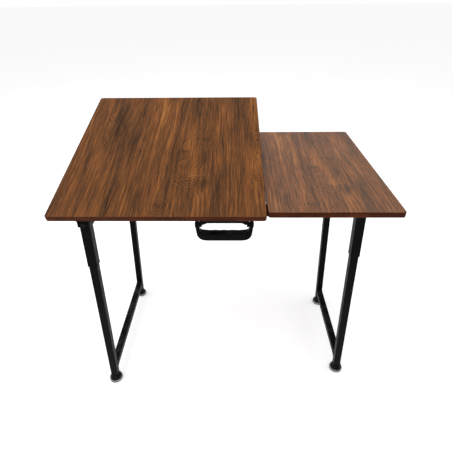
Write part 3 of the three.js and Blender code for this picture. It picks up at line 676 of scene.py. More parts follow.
@dataclass(frozen=True)
class PowderCoat(Finish):
    """Satin black powder coating over steel tube and plate."""

    gloss_level: float = 0.035

    def wire(self, wiring: Wiring, shader: bpy.types.Node) -> None:
        """Wires a fine orange peel, a slow mottle in the gloss, rubbed edges and dust."""
        place = wiring.object_coordinates()
        peel = PEBBLED.place(wiring, Vector=place, Fineness=850.0)
        wear = EDGE_WEAR.place(wiring, Vector=place, Radius=0.0010, Amount=0.30)
        dust = SETTLED_DUST.place(wiring, Vector=place, Amount=0.10)
        base = wiring.mix(peel.outputs["Mottle"], paint("050505"), paint("0a0a0b"))
        colour = wiring.mix(wear.outputs["Mask"], base, paint("29292a"))
        colour = wiring.mix(dust.outputs["Mask"], colour, paint("8d8a86"))
        wiring.feed(shader.inputs["Base Color"], colour)
        rough = wiring.math("MULTIPLY_ADD", peel.outputs["Mottle"], 0.08, 0.34)
        wiring.feed(shader.inputs["Roughness"], wiring.math("ADD", rough, dust.outputs["Mask"]))
        shader.inputs["Specular IOR Level"].default_value = self.gloss_level
        self.bump(wiring, shader, peel.outputs["Height"], 0.22, 0.00025)


@dataclass(frozen=True)
class ZincPlate(Finish):
    """Bright zinc plating on stamped steel, a little cloudy."""

    def wire(self, wiring: Wiring, shader: bpy.types.Node) -> None:
        """Wires the cloudy spangle, rolling lines, and darker worn edges."""
        place = wiring.object_coordinates()
        clouds = wiring.noise(place, (70, 70, 70), 4.0, 0.6)
        rolled = wiring.noise(place, (60, 900, 900), 2.0)
        wear = EDGE_WEAR.place(wiring, Vector=place, Radius=0.0008, Amount=0.5)
        stops = ((0.30, paint("8f9090")), (0.50, paint("b4b4b2")), (0.70, paint("cdccc6")))
        colour = wiring.mix(wear.outputs["Mask"], wiring.ramp(clouds, stops), paint("7c7a76"))
        wiring.feed(shader.inputs["Base Color"], colour)
        shader.inputs["Metallic"].default_value = 1.0
        rough = wiring.math("MULTIPLY_ADD", clouds, 0.25, 0.22)
        wiring.feed(shader.inputs["Roughness"], wiring.math("MULTIPLY_ADD", rolled, 0.1, rough))
        self.bump(wiring, shader, rolled, 0.12, 0.0001)


@dataclass(frozen=True)
class Chrome(Finish):
    """Dark polished chrome with faint hairlines."""

    def wire(self, wiring: Wiring, shader: bpy.types.Node) -> None:
        """Wires a near mirror with fingerprints and hairlines."""
        place = wiring.object_coordinates()
        hairlines = wiring.noise(place, (300, 300, 2400), 2.0)
        smudges = wiring.smooth_step(wiring.noise(place, (90, 90, 90), 4.0, 0.6), 0.4, 0.7)
        wiring.feed(shader.inputs["Base Color"], wiring.mix(smudges, paint("9b9b9d"), paint("87888a")))
        shader.inputs["Metallic"].default_value = 1.0
        wiring.feed(shader.inputs["Roughness"], wiring.math("MULTIPLY_ADD", smudges, 0.12, 0.07))
        self.bump(wiring, shader, hairlines, 0.05, 0.0001)


@dataclass(frozen=True)
class MouldedPlastic(Finish):
    """Black moulded plastic with a spark-eroded texture."""

    shade: str = "050506"
    roughness: float = 0.40
    fineness: float = 1500.0
    gloss_level: float = 0.035

    def wire(self, wiring: Wiring, shader: bpy.types.Node) -> None:
        """Wires the mould texture, polished patches, edge shine and dust."""
        place = wiring.object_coordinates()
        skin = PEBBLED.place(wiring, Vector=place, Fineness=self.fineness)
        wear = EDGE_WEAR.place(wiring, Vector=place, Radius=0.0014, Amount=0.35)
        dust = SETTLED_DUST.place(wiring, Vector=place, Amount=0.12)
        base = wiring.mix(skin.outputs["Mottle"], paint(self.shade), paint("0c0c0d"))
        colour = wiring.mix(wear.outputs["Mask"], base, paint("242425"))
        colour = wiring.mix(dust.outputs["Mask"], colour, paint("87847f"))
        wiring.feed(shader.inputs["Base Color"], colour)
        rough = wiring.math("MULTIPLY_ADD", skin.outputs["Mottle"], -0.10, self.roughness)
        wiring.feed(shader.inputs["Roughness"], wiring.math("ADD", rough, dust.outputs["Mask"]))
        shader.inputs["Specular IOR Level"].default_value = self.gloss_level
        self.bump(wiring, shader, skin.outputs["Height"], 0.25, 0.00018)


@dataclass(frozen=True)
class Rubber(Finish):
    """Matt black rubber with scuffs."""

    def wire(self, wiring: Wiring, shader: bpy.types.Node) -> None:
        """Wires a matt grain with pale floor scuffs."""
        place = wiring.object_coordinates()
        grain = PEBBLED.place(wiring, Vector=place, Fineness=2200.0)
        scuffs = wiring.smooth_step(wiring.noise(place, (120, 120, 400), 3.0, 0.7), 0.55, 0.75, 0.0, 0.3)
        base = wiring.mix(grain.outputs["Mottle"], paint("19191a"), paint("232324"))
        wiring.feed(shader.inputs["Base Color"], wiring.mix(scuffs, base, paint("5a5854")))
        wiring.feed(shader.inputs["Roughness"], wiring.math("MULTIPLY_ADD", scuffs, 0.3, 0.68))
        self.bump(wiring, shader, grain.outputs["Height"], 0.3, 0.0002)


@dataclass(frozen=True)
class BlackOxide(Finish):
    """Blackened steel of pins and small screws, rubbed bright on its edges."""

    def wire(self, wiring: Wiring, shader: bpy.types.Node) -> None:
        """Wires a dark oiled metal with cloudy gloss and rubbed edges."""
        place = wiring.object_coordinates()
        clouds = wiring.noise(place, (220, 220, 220), 3.0, 0.6)
        wear = EDGE_WEAR.place(wiring, Vector=place, Radius=0.0007, Amount=0.6)
        base = wiring.ramp(clouds, ((0.35, paint("101011")), (0.65, paint("1e1e1f"))))
        wiring.feed(shader.inputs["Base Color"], wiring.mix(wear.outputs["Mask"], base, paint("6a6a69")))
        shader.inputs["Metallic"].default_value = 1.0
        wiring.feed(shader.inputs["Roughness"], wiring.math("MULTIPLY_ADD", clouds, 0.25, 0.26))
        self.bump(wiring, shader, clouds, 0.1, 0.0001)


BACKING = Backing("backing_paper", Slot.LAMINATE)
POWDER_COAT = PowderCoat("powder_coat", Slot.BLACK_STEEL)
ZINC = ZincPlate("zinc_plate", Slot.ZINC_STEEL)
BLACK_OXIDE = BlackOxide("black_oxide", Slot.BLACK_STEEL)
CHROME = Chrome("dark_chrome", Slot.CHROME)
HANDLE_PLASTIC = MouldedPlastic("handle_plastic", Slot.BLACK_PLASTIC)
FITTING_PLASTIC = MouldedPlastic("fitting_plastic", Slot.BLACK_PLASTIC, shade="080809", roughness=0.5)
GLOSS_CAP = MouldedPlastic("gloss_cap", Slot.BLACK_PLASTIC, shade="030303", roughness=0.16, fineness=500.0,
                          gloss_level=0.12)
RUBBER = Rubber("pad_rubber", Slot.RUBBER)


# ----------------------------------------------------------------------------------------------
# Meshes and pieces
# ----------------------------------------------------------------------------------------------


@dataclass(frozen=True)
class Box:
    """A box along the axes of one frame."""

    low: Vector
    high: Vector

    @property
    def centre(self) -> Vector:
        """The box's middle."""
        return (self.low + self.high) / 2

    @property
    def size(self) -> Vector:
        """The box's extent along each axis."""
        return self.high - self.low


END_FACE_TOLERANCE = 0.1 * MM


class Frame:
    """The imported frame: its nodes, bodies and joints."""

    def __init__(self, loaded: dict[str, Any]) -> None:
        """Keeps the loaded frame."""
        self.nodes: dict[str, bpy.types.Object] = loaded["nodes"]
        self.joints: dict[str, dict[str, Any]] = {joint["name"]: joint for joint in loaded["joints"]}

    def body(self, node: str) -> str:
        """The body that a node rides on."""
        return self.nodes[node]["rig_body"]

    def box(self, node: str, turn: float = 0.0) -> Box:
        """Measures a node in a frame that is turned about X.

        Args:
            node: The node's name.
            turn: The frame's turn about X, in radians.

        Returns:
            The node's box in that frame.
        """
        back = Matrix.Rotation(-turn, 3, "X")
        points = [back @ vertex.co for vertex in self.nodes[node].data.vertices]
        low = Vector([min(point[axis] for point in points) for axis in range(3)])
        high = Vector([max(point[axis] for point in points) for axis in range(3)])
        return Box(low, high)

    def face_turn(self, node: str) -> float:
        """The turn about X of a node's largest face that looks up."""
        faces = [face for face in self.nodes[node].data.polygons if face.normal.z > 0.5]
        normal = max(faces, key=lambda face: face.area).normal
        return math.atan2(-normal.y, normal.z)

    def end_outline(self, node: str, end: End) -> list[Vector]:
        """The outer outline of a bar's end face, for a bar along Y."""
        box = self.box(node)
        face_y = box.low.y if end is End.FRONT else box.high.y
        flat = {
            (round(vertex.co.x, 6), round(vertex.co.z, 6))
            for vertex in self.nodes[node].data.vertices
            if abs(vertex.co.y - face_y) < END_FACE_TOLERANCE
        }
        points = sorted(flat)
        return [Vector((points[index][0], face_y, points[index][1])) for index in convex_hull_2d(points)]


def add_piece(name: str, mesh: bpy.types.Mesh, body: str, finishes: Sequence[Finish],
              stands_for: Iterable[str] = ()) -> bpy.types.Object:
    """Adds a finished mesh to the object.

    Args:
        name: The piece's name.
        mesh: Its mesh, in place.
        body: The body it rides on.
        finishes: A finish for each material slot of the mesh.
        stands_for: The nodes that it replaces.

    Returns:
        The new object.
    """
    mesh.name = name
    mesh.materials.clear()
    for finish in finishes:
        mesh.materials.append(finish.material())
    piece = bpy.data.objects.new(name, mesh)
    bpy.context.scene.collection.objects.link(piece)
    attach(piece, body)
    for node in stands_for:
        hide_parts(node)
    LOG.info("%s: %d faces on %s", name, len(mesh.polygons), body)
    return piece


def evaluated_mesh(piece: bpy.types.Object) -> bpy.types.Mesh:
    """Turns an object's modifiers into a plain mesh, and removes the object."""
    bpy.context.view_layer.update()
    graph = bpy.context.evaluated_depsgraph_get()
    mesh = bpy.data.meshes.new_from_object(piece.evaluated_get(graph), depsgraph=graph)
    source = piece.data
    bpy.data.objects.remove(piece)
    bpy.data.meshes.remove(source)
    return mesh


def working_object(mesh: bpy.types.Mesh) -> bpy.types.Object:
    """Puts a mesh in the scene while its modifiers are worked out."""
    piece = bpy.data.objects.new("working", mesh)
    bpy.context.scene.collection.objects.link(piece)
    return piece


def mesh_from(faces_of: Callable[[bmesh.types.BMesh], None], smooth: bool = True) -> bpy.types.Mesh:
    """Builds a mesh with a function that fills a bmesh, with its faces looking outwards."""
    shape = bmesh.new()
    faces_of(shape)
    bmesh.ops.recalc_face_normals(shape, faces=shape.faces)
    for face in shape.faces:
        face.smooth = smooth
    mesh = bpy.data.meshes.new("shape")
    shape.to_mesh(mesh)
    shape.free()
    return mesh


def weighted(mesh: bpy.types.Mesh) -> bpy.types.Mesh:
    """Lets large faces keep their own normals, so that only the rounded strips look round."""
    piece = working_object(mesh)
    modifier = piece.modifiers.new("weighted", "WEIGHTED_NORMAL")
    modifier.keep_sharp = True
    return evaluated_mesh(piece)


MERGE_DISTANCE = 0.002 * MM
FLAT_ANGLE = math.radians(0.6)
SHARP_ANGLE = math.radians(34)


def merged_copy(source: bpy.types.Mesh) -> bpy.types.Mesh:
    """Copies a loose-triangle mesh with its corners joined and its flat faces whole."""

    def fill(shape: bmesh.types.BMesh) -> None:
        """Joins and simplifies the copy."""
        shape.from_mesh(source)
        bmesh.ops.remove_doubles(shape, verts=shape.verts, dist=MERGE_DISTANCE)
        bmesh.ops.dissolve_limit(shape, angle_limit=FLAT_ANGLE, verts=shape.verts, edges=shape.edges)

    return mesh_from(fill)


def softened_copy(source: bpy.types.Mesh, edge_radius: float, steps: int = 2) -> bpy.types.Mesh:
    """Copies a mesh with its sharp edges rounded.

    Args:
        source: The mesh of loose triangles.
        edge_radius: The rounding's radius.
        steps: Faces across each rounded edge.

    Returns:
        The rounded mesh, with weighted normals.
    """
    piece = working_object(merged_copy(source))
    bevel = piece.modifiers.new("rounding", "BEVEL")
    bevel.width = edge_radius
    bevel.segments = steps
    bevel.limit_method = "ANGLE"
    bevel.angle_limit = SHARP_ANGLE
    bevel.use_clamp_overlap = True
    return weighted(evaluated_mesh(piece))


def melted_copy(source: bpy.types.Mesh, grain: float, passes: int) -> bpy.types.Mesh:
    """Copies a mesh as one moulded skin whose edges all flow together.

    Args:
        source: The mesh of loose triangles.
        grain: The size of the new faces.
        passes: How often the skin is smoothed.

    Returns:
        The moulded mesh.
    """
    piece = working_object(merged_copy(source))
    remesh = piece.modifiers.new("skin", "REMESH")
    remesh.mode = "VOXEL"
    remesh.voxel_size = grain
    remesh.use_smooth_shade = True
    smooth = piece.modifiers.new("flow", "SMOOTH")
    smooth.factor = 0.5
    smooth.iterations = passes
    return evaluated_mesh(piece)


def lathe(profile: Sequence[Point2], place: Matrix, steps: int = 48) -> bpy.types.Mesh:
    """Turns a profile about the local Z axis.

    Args:
        profile: Radius and height of each point, from one pole to the other.
        place: Takes the local frame to the shared frame.
        steps: Faces round the axis.

    Returns:
        The closed mesh.
    """

    def fill(shape: bmesh.types.BMesh) -> None:
        """Adds one ring for each point, or one vertex at a pole."""
        rings: list[list[bmesh.types.BMVert]] = []
        for radius, height in profile:
            if radius < 1e-7:
                rings.append([shape.verts.new(place @ Vector((0, 0, height)))])
                continue
            angles = [math.tau * step / steps for step in range(steps)]
            spots = [Vector((radius * math.cos(angle), radius * math.sin(angle), height)) for angle in angles]
            rings.append([shape.verts.new(place @ spot) for spot in spots])
        for lower, upper in zip(rings, rings[1:]):
            for step in range(steps):
                after = (step + 1) % steps
                corners = [lower[step % len(lower)], lower[after % len(lower)]]
                corners += [upper[after % len(upper)], upper[step % len(upper)]]
                shape.faces.new(list(dict.fromkeys(corners)))

    return weighted(mesh_from(fill))


def arc(centre: Point2, radii: Point2, start: float, end: float, steps: int) -> list[Point2]:
    """Points of a profile along part of an ellipse, with the angles in degrees."""
    points = []
    for step in range(steps + 1):
        angle = math.radians(start + (end - start) * step / steps)
        points.append((centre[0] + radii[0] * math.cos(angle), centre[1] + radii[1] * math.sin(angle)))
    return points


def facing_matrix(place: Vector, facing: Vector) -> Matrix:
    """The frame at a place whose Z axis looks along a direction."""
    return Matrix.Translation(place) @ facing.to_track_quat("Z", "Y").to_matrix().to_4x4()


# ----------------------------------------------------------------------------------------------
# Geometry node tools for what repeats or follows a path
# ----------------------------------------------------------------------------------------------


@dataclass(frozen=True)
class Placement:
    """Where a small repeated part stands and the way that it looks."""

    place: Vector
    facing: Vector


class GeometryTool:
    """A geometry node tree with named inputs, whose result becomes a plain mesh."""

    name = "tool"
    sizes: dict[str, float] = {}

    def __init__(self) -> None:
        """Builds the tree once, with its inputs, its wiring, and its last two nodes."""
        self.tree = bpy.data.node_groups.new(self.name, "GeometryNodeTree")
        interface = self.tree.interface
        interface.new_socket("Geometry", in_out="INPUT", socket_type="NodeSocketGeometry")
        self.identifiers: dict[str, str] = {}
        for label, value in self.sizes.items():
            socket = interface.new_socket(label, in_out="INPUT", socket_type=VALUE)
            socket.default_value = value
            self.identifiers[label] = socket.identifier
        socket = interface.new_socket("Material", in_out="INPUT", socket_type="NodeSocketMaterial")
        self.identifiers["Material"] = socket.identifier
        interface.new_socket("Geometry", in_out="OUTPUT", socket_type="NodeSocketGeometry")
        wiring = Wiring(self.tree)
        given = wiring.node("NodeGroupInput").outputs
        sockets = {socket.name: socket for socket in given if socket.name}
        result = self.wire(wiring, sockets)
        real = wiring.node("GeometryNodeRealizeInstances", {"Geometry": result}).outputs[0]
        dressed = {"Geometry": real, "Material": sockets["Material"]}
        coloured = wiring.node("GeometryNodeSetMaterial", dressed).outputs[0]
        wiring.node("NodeGroupOutput", {"Geometry": coloured})

    def wire(self, wiring: Wiring, given: Sockets) -> bpy.types.NodeSocket:
        """Wires the tool's own shape and gives its geometry; each tool has its own."""
        raise NotImplementedError

    def run(self, source: bpy.types.Mesh, finish: Finish, **values: float) -> bpy.types.Mesh:
        """Runs the tree on a mesh.

        Args:
            source: The points or edges that the tool works on.
            finish: The finish of the result.
            values: Sizes that differ from the tool's own, by their label in small letters with underscores.

        Returns:
            The plain mesh.
        """
        piece = working_object(source)
        modifier = piece.modifiers.new(self.name, "NODES")
        modifier.node_group = self.tree
        labels = {label.lower().replace(" ", "_"): label for label in self.sizes}
        for word, value in values.items():
            modifier[self.identifiers[labels[word]]] = value
        modifier[self.identifiers["Material"]] = finish.material()
        return evaluated_mesh(piece)


class PointTool(GeometryTool):
    """A tool that stands one small shape on each placement."""

    seed = 7

    def wire(self, wiring: Wiring, given: Sockets) -> bpy.types.NodeSocket:
        """Wires the instances, each turned to its facing and spun by a fixed random angle."""
        facing = wiring.node("GeometryNodeInputNamedAttribute", {"Name": "facing"}, data_type="FLOAT_VECTOR")
        aim = wiring.node("FunctionNodeAlignRotationToVector", {"Vector": facing.outputs[0]}, axis="Z")
        angle = wiring.node("FunctionNodeRandomValue", data_type="FLOAT")
        for socket in angle.inputs:
            if socket.name == "Max" and socket.type == "VALUE":
                socket.default_value = math.tau
            if socket.name == "Seed":
                socket.default_value = self.seed
        turn = next(socket for socket in angle.outputs if socket.type == "VALUE")
        about = wiring.node("ShaderNodeCombineXYZ", {"Z": turn}).outputs[0]
        spin = wiring.node("FunctionNodeEulerToRotation", {0: about}).outputs[0]
        both = wiring.node("FunctionNodeRotateRotation", {0: aim.outputs[0], 1: spin}, rotation_space="LOCAL")
        item = self.item(wiring, given)
        inputs = {"Points": given["Geometry"], "Instance": item, "Rotation": both.outputs[0]}
        return wiring.node("GeometryNodeInstanceOnPoints", inputs).outputs[0]

    def item(self, wiring: Wiring, given: Sockets) -> bpy.types.NodeSocket:
        """Wires the small shape, standing on Z = 0; each tool has its own."""
        raise NotImplementedError

    def stand_on(self, placements: Sequence[Placement], finish: Finish, **values: float) -> bpy.types.Mesh:
        """Runs the tool on a list of placements."""
        points = bpy.data.meshes.new("placements")
        points.from_pydata([placement.place for placement in placements], [], [])
        attribute = points.attributes.new("facing", "FLOAT_VECTOR", "POINT")
        for datum, placement in zip(attribute.data, placements):
            datum.vector = placement.facing
        return self.run(points, finish, **values)


class ScrewTool(PointTool):
    """Pan-head screws with a cross recess."""

    name = "pan_head_screws"
    sizes = {
        "Head radius": 3.6 * MM,
        "Head height": 1.4 * MM,
        "Recess width": 0.9 * MM,
        "Recess depth": 0.9 * MM,
    }
    lower_share = 0.55
    upper_share = 0.45
    waist_share = 0.95
    crown_share = 0.66
    recess_share = 1.15

    def item(self, wiring: Wiring, given: Sockets) -> bpy.types.NodeSocket:
        """Wires two stacked cones with a cross cut out of the top."""
        radius, height = given["Head radius"], given["Head height"]
        lower_height = wiring.math("MULTIPLY", height, self.lower_share)
        upper_height = wiring.math("MULTIPLY", height, self.upper_share)
        waist = wiring.math("MULTIPLY", radius, self.waist_share)
        crown = wiring.math("MULTIPLY", radius, self.crown_share)
        parts = []
        for bottom, top, depth in ((radius, waist, lower_height), (waist, crown, upper_height)):
            inputs = {"Vertices": 24, "Radius Top": top, "Radius Bottom": bottom, "Depth": depth}
            parts.append(wiring.node("GeometryNodeMeshCone", inputs).outputs["Mesh"])
        lift = wiring.node("ShaderNodeCombineXYZ", {"Z": lower_height}).outputs[0]
        raised = wiring.node("GeometryNodeTransform", {"Geometry": parts[1], "Translation": lift}).outputs[0]
        head = wiring.node("GeometryNodeMeshBoolean", operation="UNION", solver="EXACT")
        for part in (parts[0], raised):
            wiring.tree.links.new(part, head.inputs["Mesh 2"])
        length = wiring.math("MULTIPLY", radius, self.recess_share)
        deep = wiring.math("MULTIPLY", given["Recess depth"], 2.0)
        cut = wiring.node("GeometryNodeMeshBoolean", {"Mesh 1": head.outputs["Mesh"]}, operation="DIFFERENCE",
                          solver="EXACT")
        top_of_head = wiring.node("ShaderNodeCombineXYZ", {"Z": height}).outputs[0]
        for first, second in ((length, given["Recess width"]), (given["Recess width"], length)):
            size = wiring.node("ShaderNodeCombineXYZ", {"X": first, "Y": second, "Z": deep}).outputs[0]
            bar = wiring.node("GeometryNodeMeshCube", {"Size": size}).outputs["Mesh"]
            placed = wiring.node("GeometryNodeTransform", {"Geometry": bar, "Translation": top_of_head})
            wiring.tree.links.new(placed.outputs[0], cut.inputs["Mesh 2"])
        return cut.outputs["Mesh"]


class ThreadTool(PointTool):
    """A screw thread that winds up a stem."""

    name = "stem_thread"
    sizes = {"Thread radius": 4.0 * MM, "Wire radius": 0.45 * MM, "Turns": 12.0, "Length": 15.0 * MM}

    def item(self, wiring: Wiring, given: Sockets) -> bpy.types.NodeSocket:
        """Wires a spiral with a three-sided profile."""
        spiral = wiring.node("GeometryNodeCurveSpiral", {
            "Resolution": 24,
            "Rotations": given["Turns"],
            "Start Radius": given["Thread radius"],
            "End Radius": given["Thread radius"],
            "Height": given["Length"],
        })
        section = {"Resolution": 3, "Radius": given["Wire radius"]}
        profile = wiring.node("GeometryNodeCurvePrimitiveCircle", section)
        inputs = {"Curve": spiral.outputs[0], "Profile Curve": profile.outputs[0], "Fill Caps": True}
        return wiring.node("GeometryNodeCurveToMesh", inputs).outputs[0]


class RibTool(PointTool):
    """A ring of rounded grip ribs."""

    name = "grip_ribs"
    sizes = {"Ring radius": 9.6 * MM, "Rib radius": 1.3 * MM, "Rib height": 5.6 * MM}
    count = 14
    tip_share = 0.45

    def item(self, wiring: Wiring, given: Sockets) -> bpy.types.NodeSocket:
        """Wires upright ribs on a circle, each with a shallow cone at its top."""
        ring = wiring.node("GeometryNodeMeshCircle", {"Vertices": self.count, "Radius": given["Ring radius"]})
        body = {"Vertices": 12, "Radius Top": given["Rib radius"], "Radius Bottom": given["Rib radius"],
                "Depth": given["Rib height"]}
        stem = wiring.node("GeometryNodeMeshCone", body).outputs["Mesh"]
        small = wiring.math("MULTIPLY", given["Rib radius"], self.tip_share)
        tip = {"Vertices": 12, "Radius Top": small, "Radius Bottom": given["Rib radius"], "Depth": small}
        cap = wiring.node("GeometryNodeMeshCone", tip).outputs["Mesh"]
        lift = wiring.node("ShaderNodeCombineXYZ", {"Z": given["Rib height"]}).outputs[0]
        raised = wiring.node("GeometryNodeTransform", {"Geometry": cap, "Translation": lift}).outputs[0]
        joined = wiring.node("GeometryNodeMeshBoolean", operation="UNION", solver="EXACT")
        for part in (stem, raised):
            wiring.tree.links.new(part, joined.inputs["Mesh 2"])
        inputs = {"Points": ring.outputs[0], "Instance": joined.outputs["Mesh"]}
        return wiring.node("GeometryNodeInstanceOnPoints", inputs).outputs[0]


class WeldTool(GeometryTool):
    """A rippled weld bead along the edges of a mesh."""

    name = "weld_bead"
    sizes = {"Bead radius": 1.5 * MM, "Ripple length": 1.6 * MM, "Ripple depth": 0.16}
    steps_per_ripple = 4

    def wire(self, wiring: Wiring, given: Sockets) -> bpy.types.NodeSocket:
        """Wires a tube along the path whose thickness rises and falls with each ripple."""
        path = wiring.node("GeometryNodeMeshToCurve", {"Mesh": given["Geometry"]}).outputs[0]
        step = wiring.math("DIVIDE", given["Ripple length"], float(self.steps_per_ripple))
        resample = wiring.node("GeometryNodeResampleCurve", {"Curve": path, "Length": step}, mode="LENGTH")
        index = wiring.node("GeometryNodeInputIndex").outputs[0]
        angle = wiring.math("MULTIPLY", index, math.tau / self.steps_per_ripple)
        swell = wiring.math("MULTIPLY_ADD", wiring.math("SINE", angle), given["Ripple depth"], 1.0)
        swelling = {"Curve": resample.outputs[0], "Radius": swell}
        thick = wiring.node("GeometryNodeSetCurveRadius", swelling).outputs[0]
        section = {"Resolution": 8, "Radius": given["Bead radius"]}
        profile = wiring.node("GeometryNodeCurvePrimitiveCircle", section)
        tube = wiring.node("GeometryNodeCurveToMesh", {"Curve": thick, "Profile Curve": profile.outputs[0]})
        if "Scale" in tube.inputs:
            wiring.feed(tube.inputs["Scale"], swell)
        return tube.outputs[0]

    def along(self, loops: Sequence[Sequence[Vector]], finish: Finish, **values: float) -> bpy.types.Mesh:
        """Runs the tool along closed loops of points."""
        points: list[Vector] = []
        edges: list[tuple[int, int]] = []
        for loop in loops:
            first = len(points)
            points.extend(loop)
            edges.extend((first + step, first + (step + 1) % len(loop)) for step in range(len(loop)))
        path = bpy.data.meshes.new("path")
        path.from_pydata(points, edges, [])
        return self.run(path, finish, **values)


@dataclass
class Toolbox:
    """The geometry node tools that the sub-assemblies share."""

    screws: ScrewTool = field(default_factory=ScrewTool)
    threads: ThreadTool = field(default_factory=ThreadTool)
    ribs: RibTool = field(default_factory=RibTool)
    welds: WeldTool = field(default_factory=WeldTool)

    def add_screws(self, name: str, places: Iterable[Vector], facing: Vector, finish: Finish, body: str,
                   **sizes: float) -> None:
        """Adds one piece that holds screws which all look the same way.

        Args:
            name: The piece's name.
            places: Where each head stands.
            facing: The way that the heads look.
            finish: The screws' finish.
            body: The body that they ride on.
            sizes: Sizes that differ from the screw tool's own.
        """
        mesh = self.screws.stand_on([Placement(place, facing) for place in places], finish, **sizes)
        add_piece(name, mesh, body, (finish,))


# ----------------------------------------------------------------------------------------------
# Sub-assemblies
# ----------------------------------------------------------------------------------------------


@dataclass
class Board:
    """One laminated board with its edge band."""

    frame: Frame
    side: Side
    sheet_across: float
    gloss_level: float = 0.35
    # How much lighter the print is painted: painted sheen for the light a level board reflects.
    fading: float = 0.0
    band: float = 1.2 * MM
    band_gap: float = 0.05 * MM
    backing_step: float = 0.2 * MM
    corner_radius: float = 8.0 * MM
    corner_steps: int = 10
    arris: float = 1.1 * MM
    arris_steps: int = 4

    def outline(self, size: Vector, inset: float) -> list[Point2]:
        """The board's rounded outline in its own frame.

        Args:
            size: The board's width and depth.
            inset: How far inside the outer edge the outline runs.

        Returns:
            The points, counted from the left front corner.
        """
        radius = self.corner_radius - inset
        low = inset + radius
        right, back = size.x - low, size.y - low
        corners = ((right, back, 0), (low, back, 90), (low, low, 180), (right, low, 270))
        points: list[Point2] = []
        for x, y, start in corners:
            points += arc((x, y), (radius, radius), start, start + 90, self.corner_steps)
        return points

    def build(self) -> None:
        """Builds the laminated core and the band round it."""
        board_node = f"{self.side.word}_board"
        band_node = f"{self.side.word}_edge_band"
        turn = self.frame.face_turn(board_node)
        box = self.frame.box(band_node, turn)
        place = Matrix.Rotation(turn, 4, "X") @ Matrix.Translation(box.low)
        top_corner = Matrix.Rotation(turn, 3, "X") @ Vector((box.low.x, box.low.y, box.high.z))
        laminate = Laminate(f"walnut_laminate_{self.side.word}", Slot.LAMINATE, tuple(top_corner), turn,
                            self.sheet_across, self.gloss_level, self.fading)
        banding = EdgeBanding(f"edge_band_{self.side.word}", Slot.EDGING, turn)
        body = self.frame.body(board_node)
        core = self.core_mesh(box.size, place)
        add_piece(f"{board_node}_core", core, body, (laminate, BACKING), (board_node,))
        add_piece(f"{band_node}_strip", self.band_mesh(box.size, place), body, (banding,), (band_node,))

    def core_mesh(self, size: Vector, place: Matrix) -> bpy.types.Mesh:
        """The board inside its band, with the top face in the first slot and the rest in the second."""
        outline = self.outline(size, self.band + self.band_gap)

        def fill(shape: bmesh.types.BMesh) -> None:
            """Adds the two faces and the wall between them."""
            top = [shape.verts.new(place @ Vector((x, y, size.z))) for x, y in outline]
            bottom = [shape.verts.new(place @ Vector((x, y, self.backing_step))) for x, y in outline]
            shape.faces.new(top).material_index = 0
            shape.faces.new(list(reversed(bottom))).material_index = 1
            for step in range(len(outline)):
                after = (step + 1) % len(outline)
                wall = shape.faces.new((bottom[step], bottom[after], top[after], top[step]))
                wall.material_index = 1

        return mesh_from(fill, smooth=False)

    def band_mesh(self, size: Vector, place: Matrix) -> bpy.types.Mesh:
        """The band: a ring whose outer edges are rounded at the top and bottom."""
        centre_in = self.arris
        section = [(self.band, size.z)]
        section += arc((centre_in, size.z - self.arris), (-self.arris, self.arris), 90, 0, self.arris_steps)
        section += arc((centre_in, self.arris), (-self.arris, self.arris), 0, -90, self.arris_steps)
        section += [(self.band, 0.0)]
        rings = [[(x, y, height) for x, y in self.outline(size, inset)] for inset, height in section]

        def fill(shape: bmesh.types.BMesh) -> None:
            """Adds one loop for each point of the section, and closes the ring of loops."""
            loops = [[shape.verts.new(place @ Vector(point)) for point in ring] for ring in rings]
            count = len(loops[0])
            for lower, upper in zip(loops, loops[1:] + loops[:1]):
                for step in range(count):
                    after = (step + 1) % count
                    shape.faces.new((lower[step], lower[after], upper[after], upper[step]))

        return weighted(mesh_from(fill))


@dataclass
class StampedPart:
    """A node whose shape stays and whose sharp edges are rounded for its finish."""

    frame: Frame
    node: str
    finish: Finish
    edge_radius: float

    def build(self) -> None:
        """Builds the rounded copy that stands for the node."""
        mesh = softened_copy(self.frame.nodes[self.node].data, self.edge_radius)
        add_piece(f"{self.node}_finished", mesh, self.frame.body(self.node), (self.finish,), (self.node,))


@dataclass
class RailFrame:
    """The welded frame of square tube under the boards."""

    frame: Frame
    tools: Toolbox
    edge_radius: float = 0.35 * MM
    side_screw_spacing: float = 120 * MM
    cross_screw_reaches: tuple[float, float] = (50 * MM, 200 * MM)
    screw_head: float = 4.2 * MM

    def build(self) -> None:
        """Builds the rails and the screws that hold the level board from below."""
        for node in ("front_rail", "rear_rail", "left_rail", "right_rail"):
            StampedPart(self.frame, node, POWDER_COAT, self.edge_radius).build()
        right = self.frame.box("right_rail")
        board = self.frame.box("right_board")
        spacing = self.side_screw_spacing
        places = [Vector((right.centre.x, step * spacing, right.low.z)) for step in (-1, 0, 1)]
        for node in ("front_rail", "rear_rail"):
            rail = self.frame.box(node)
            places += [Vector((board.low.x + reach, rail.centre.y, rail.low.z))
                       for reach in self.cross_screw_reaches]
        self.tools.add_screws("rail_screws", places, Vector((0, 0, -1)), ZINC, self.frame.body("right_rail"),
                              head_radius=self.screw_head)


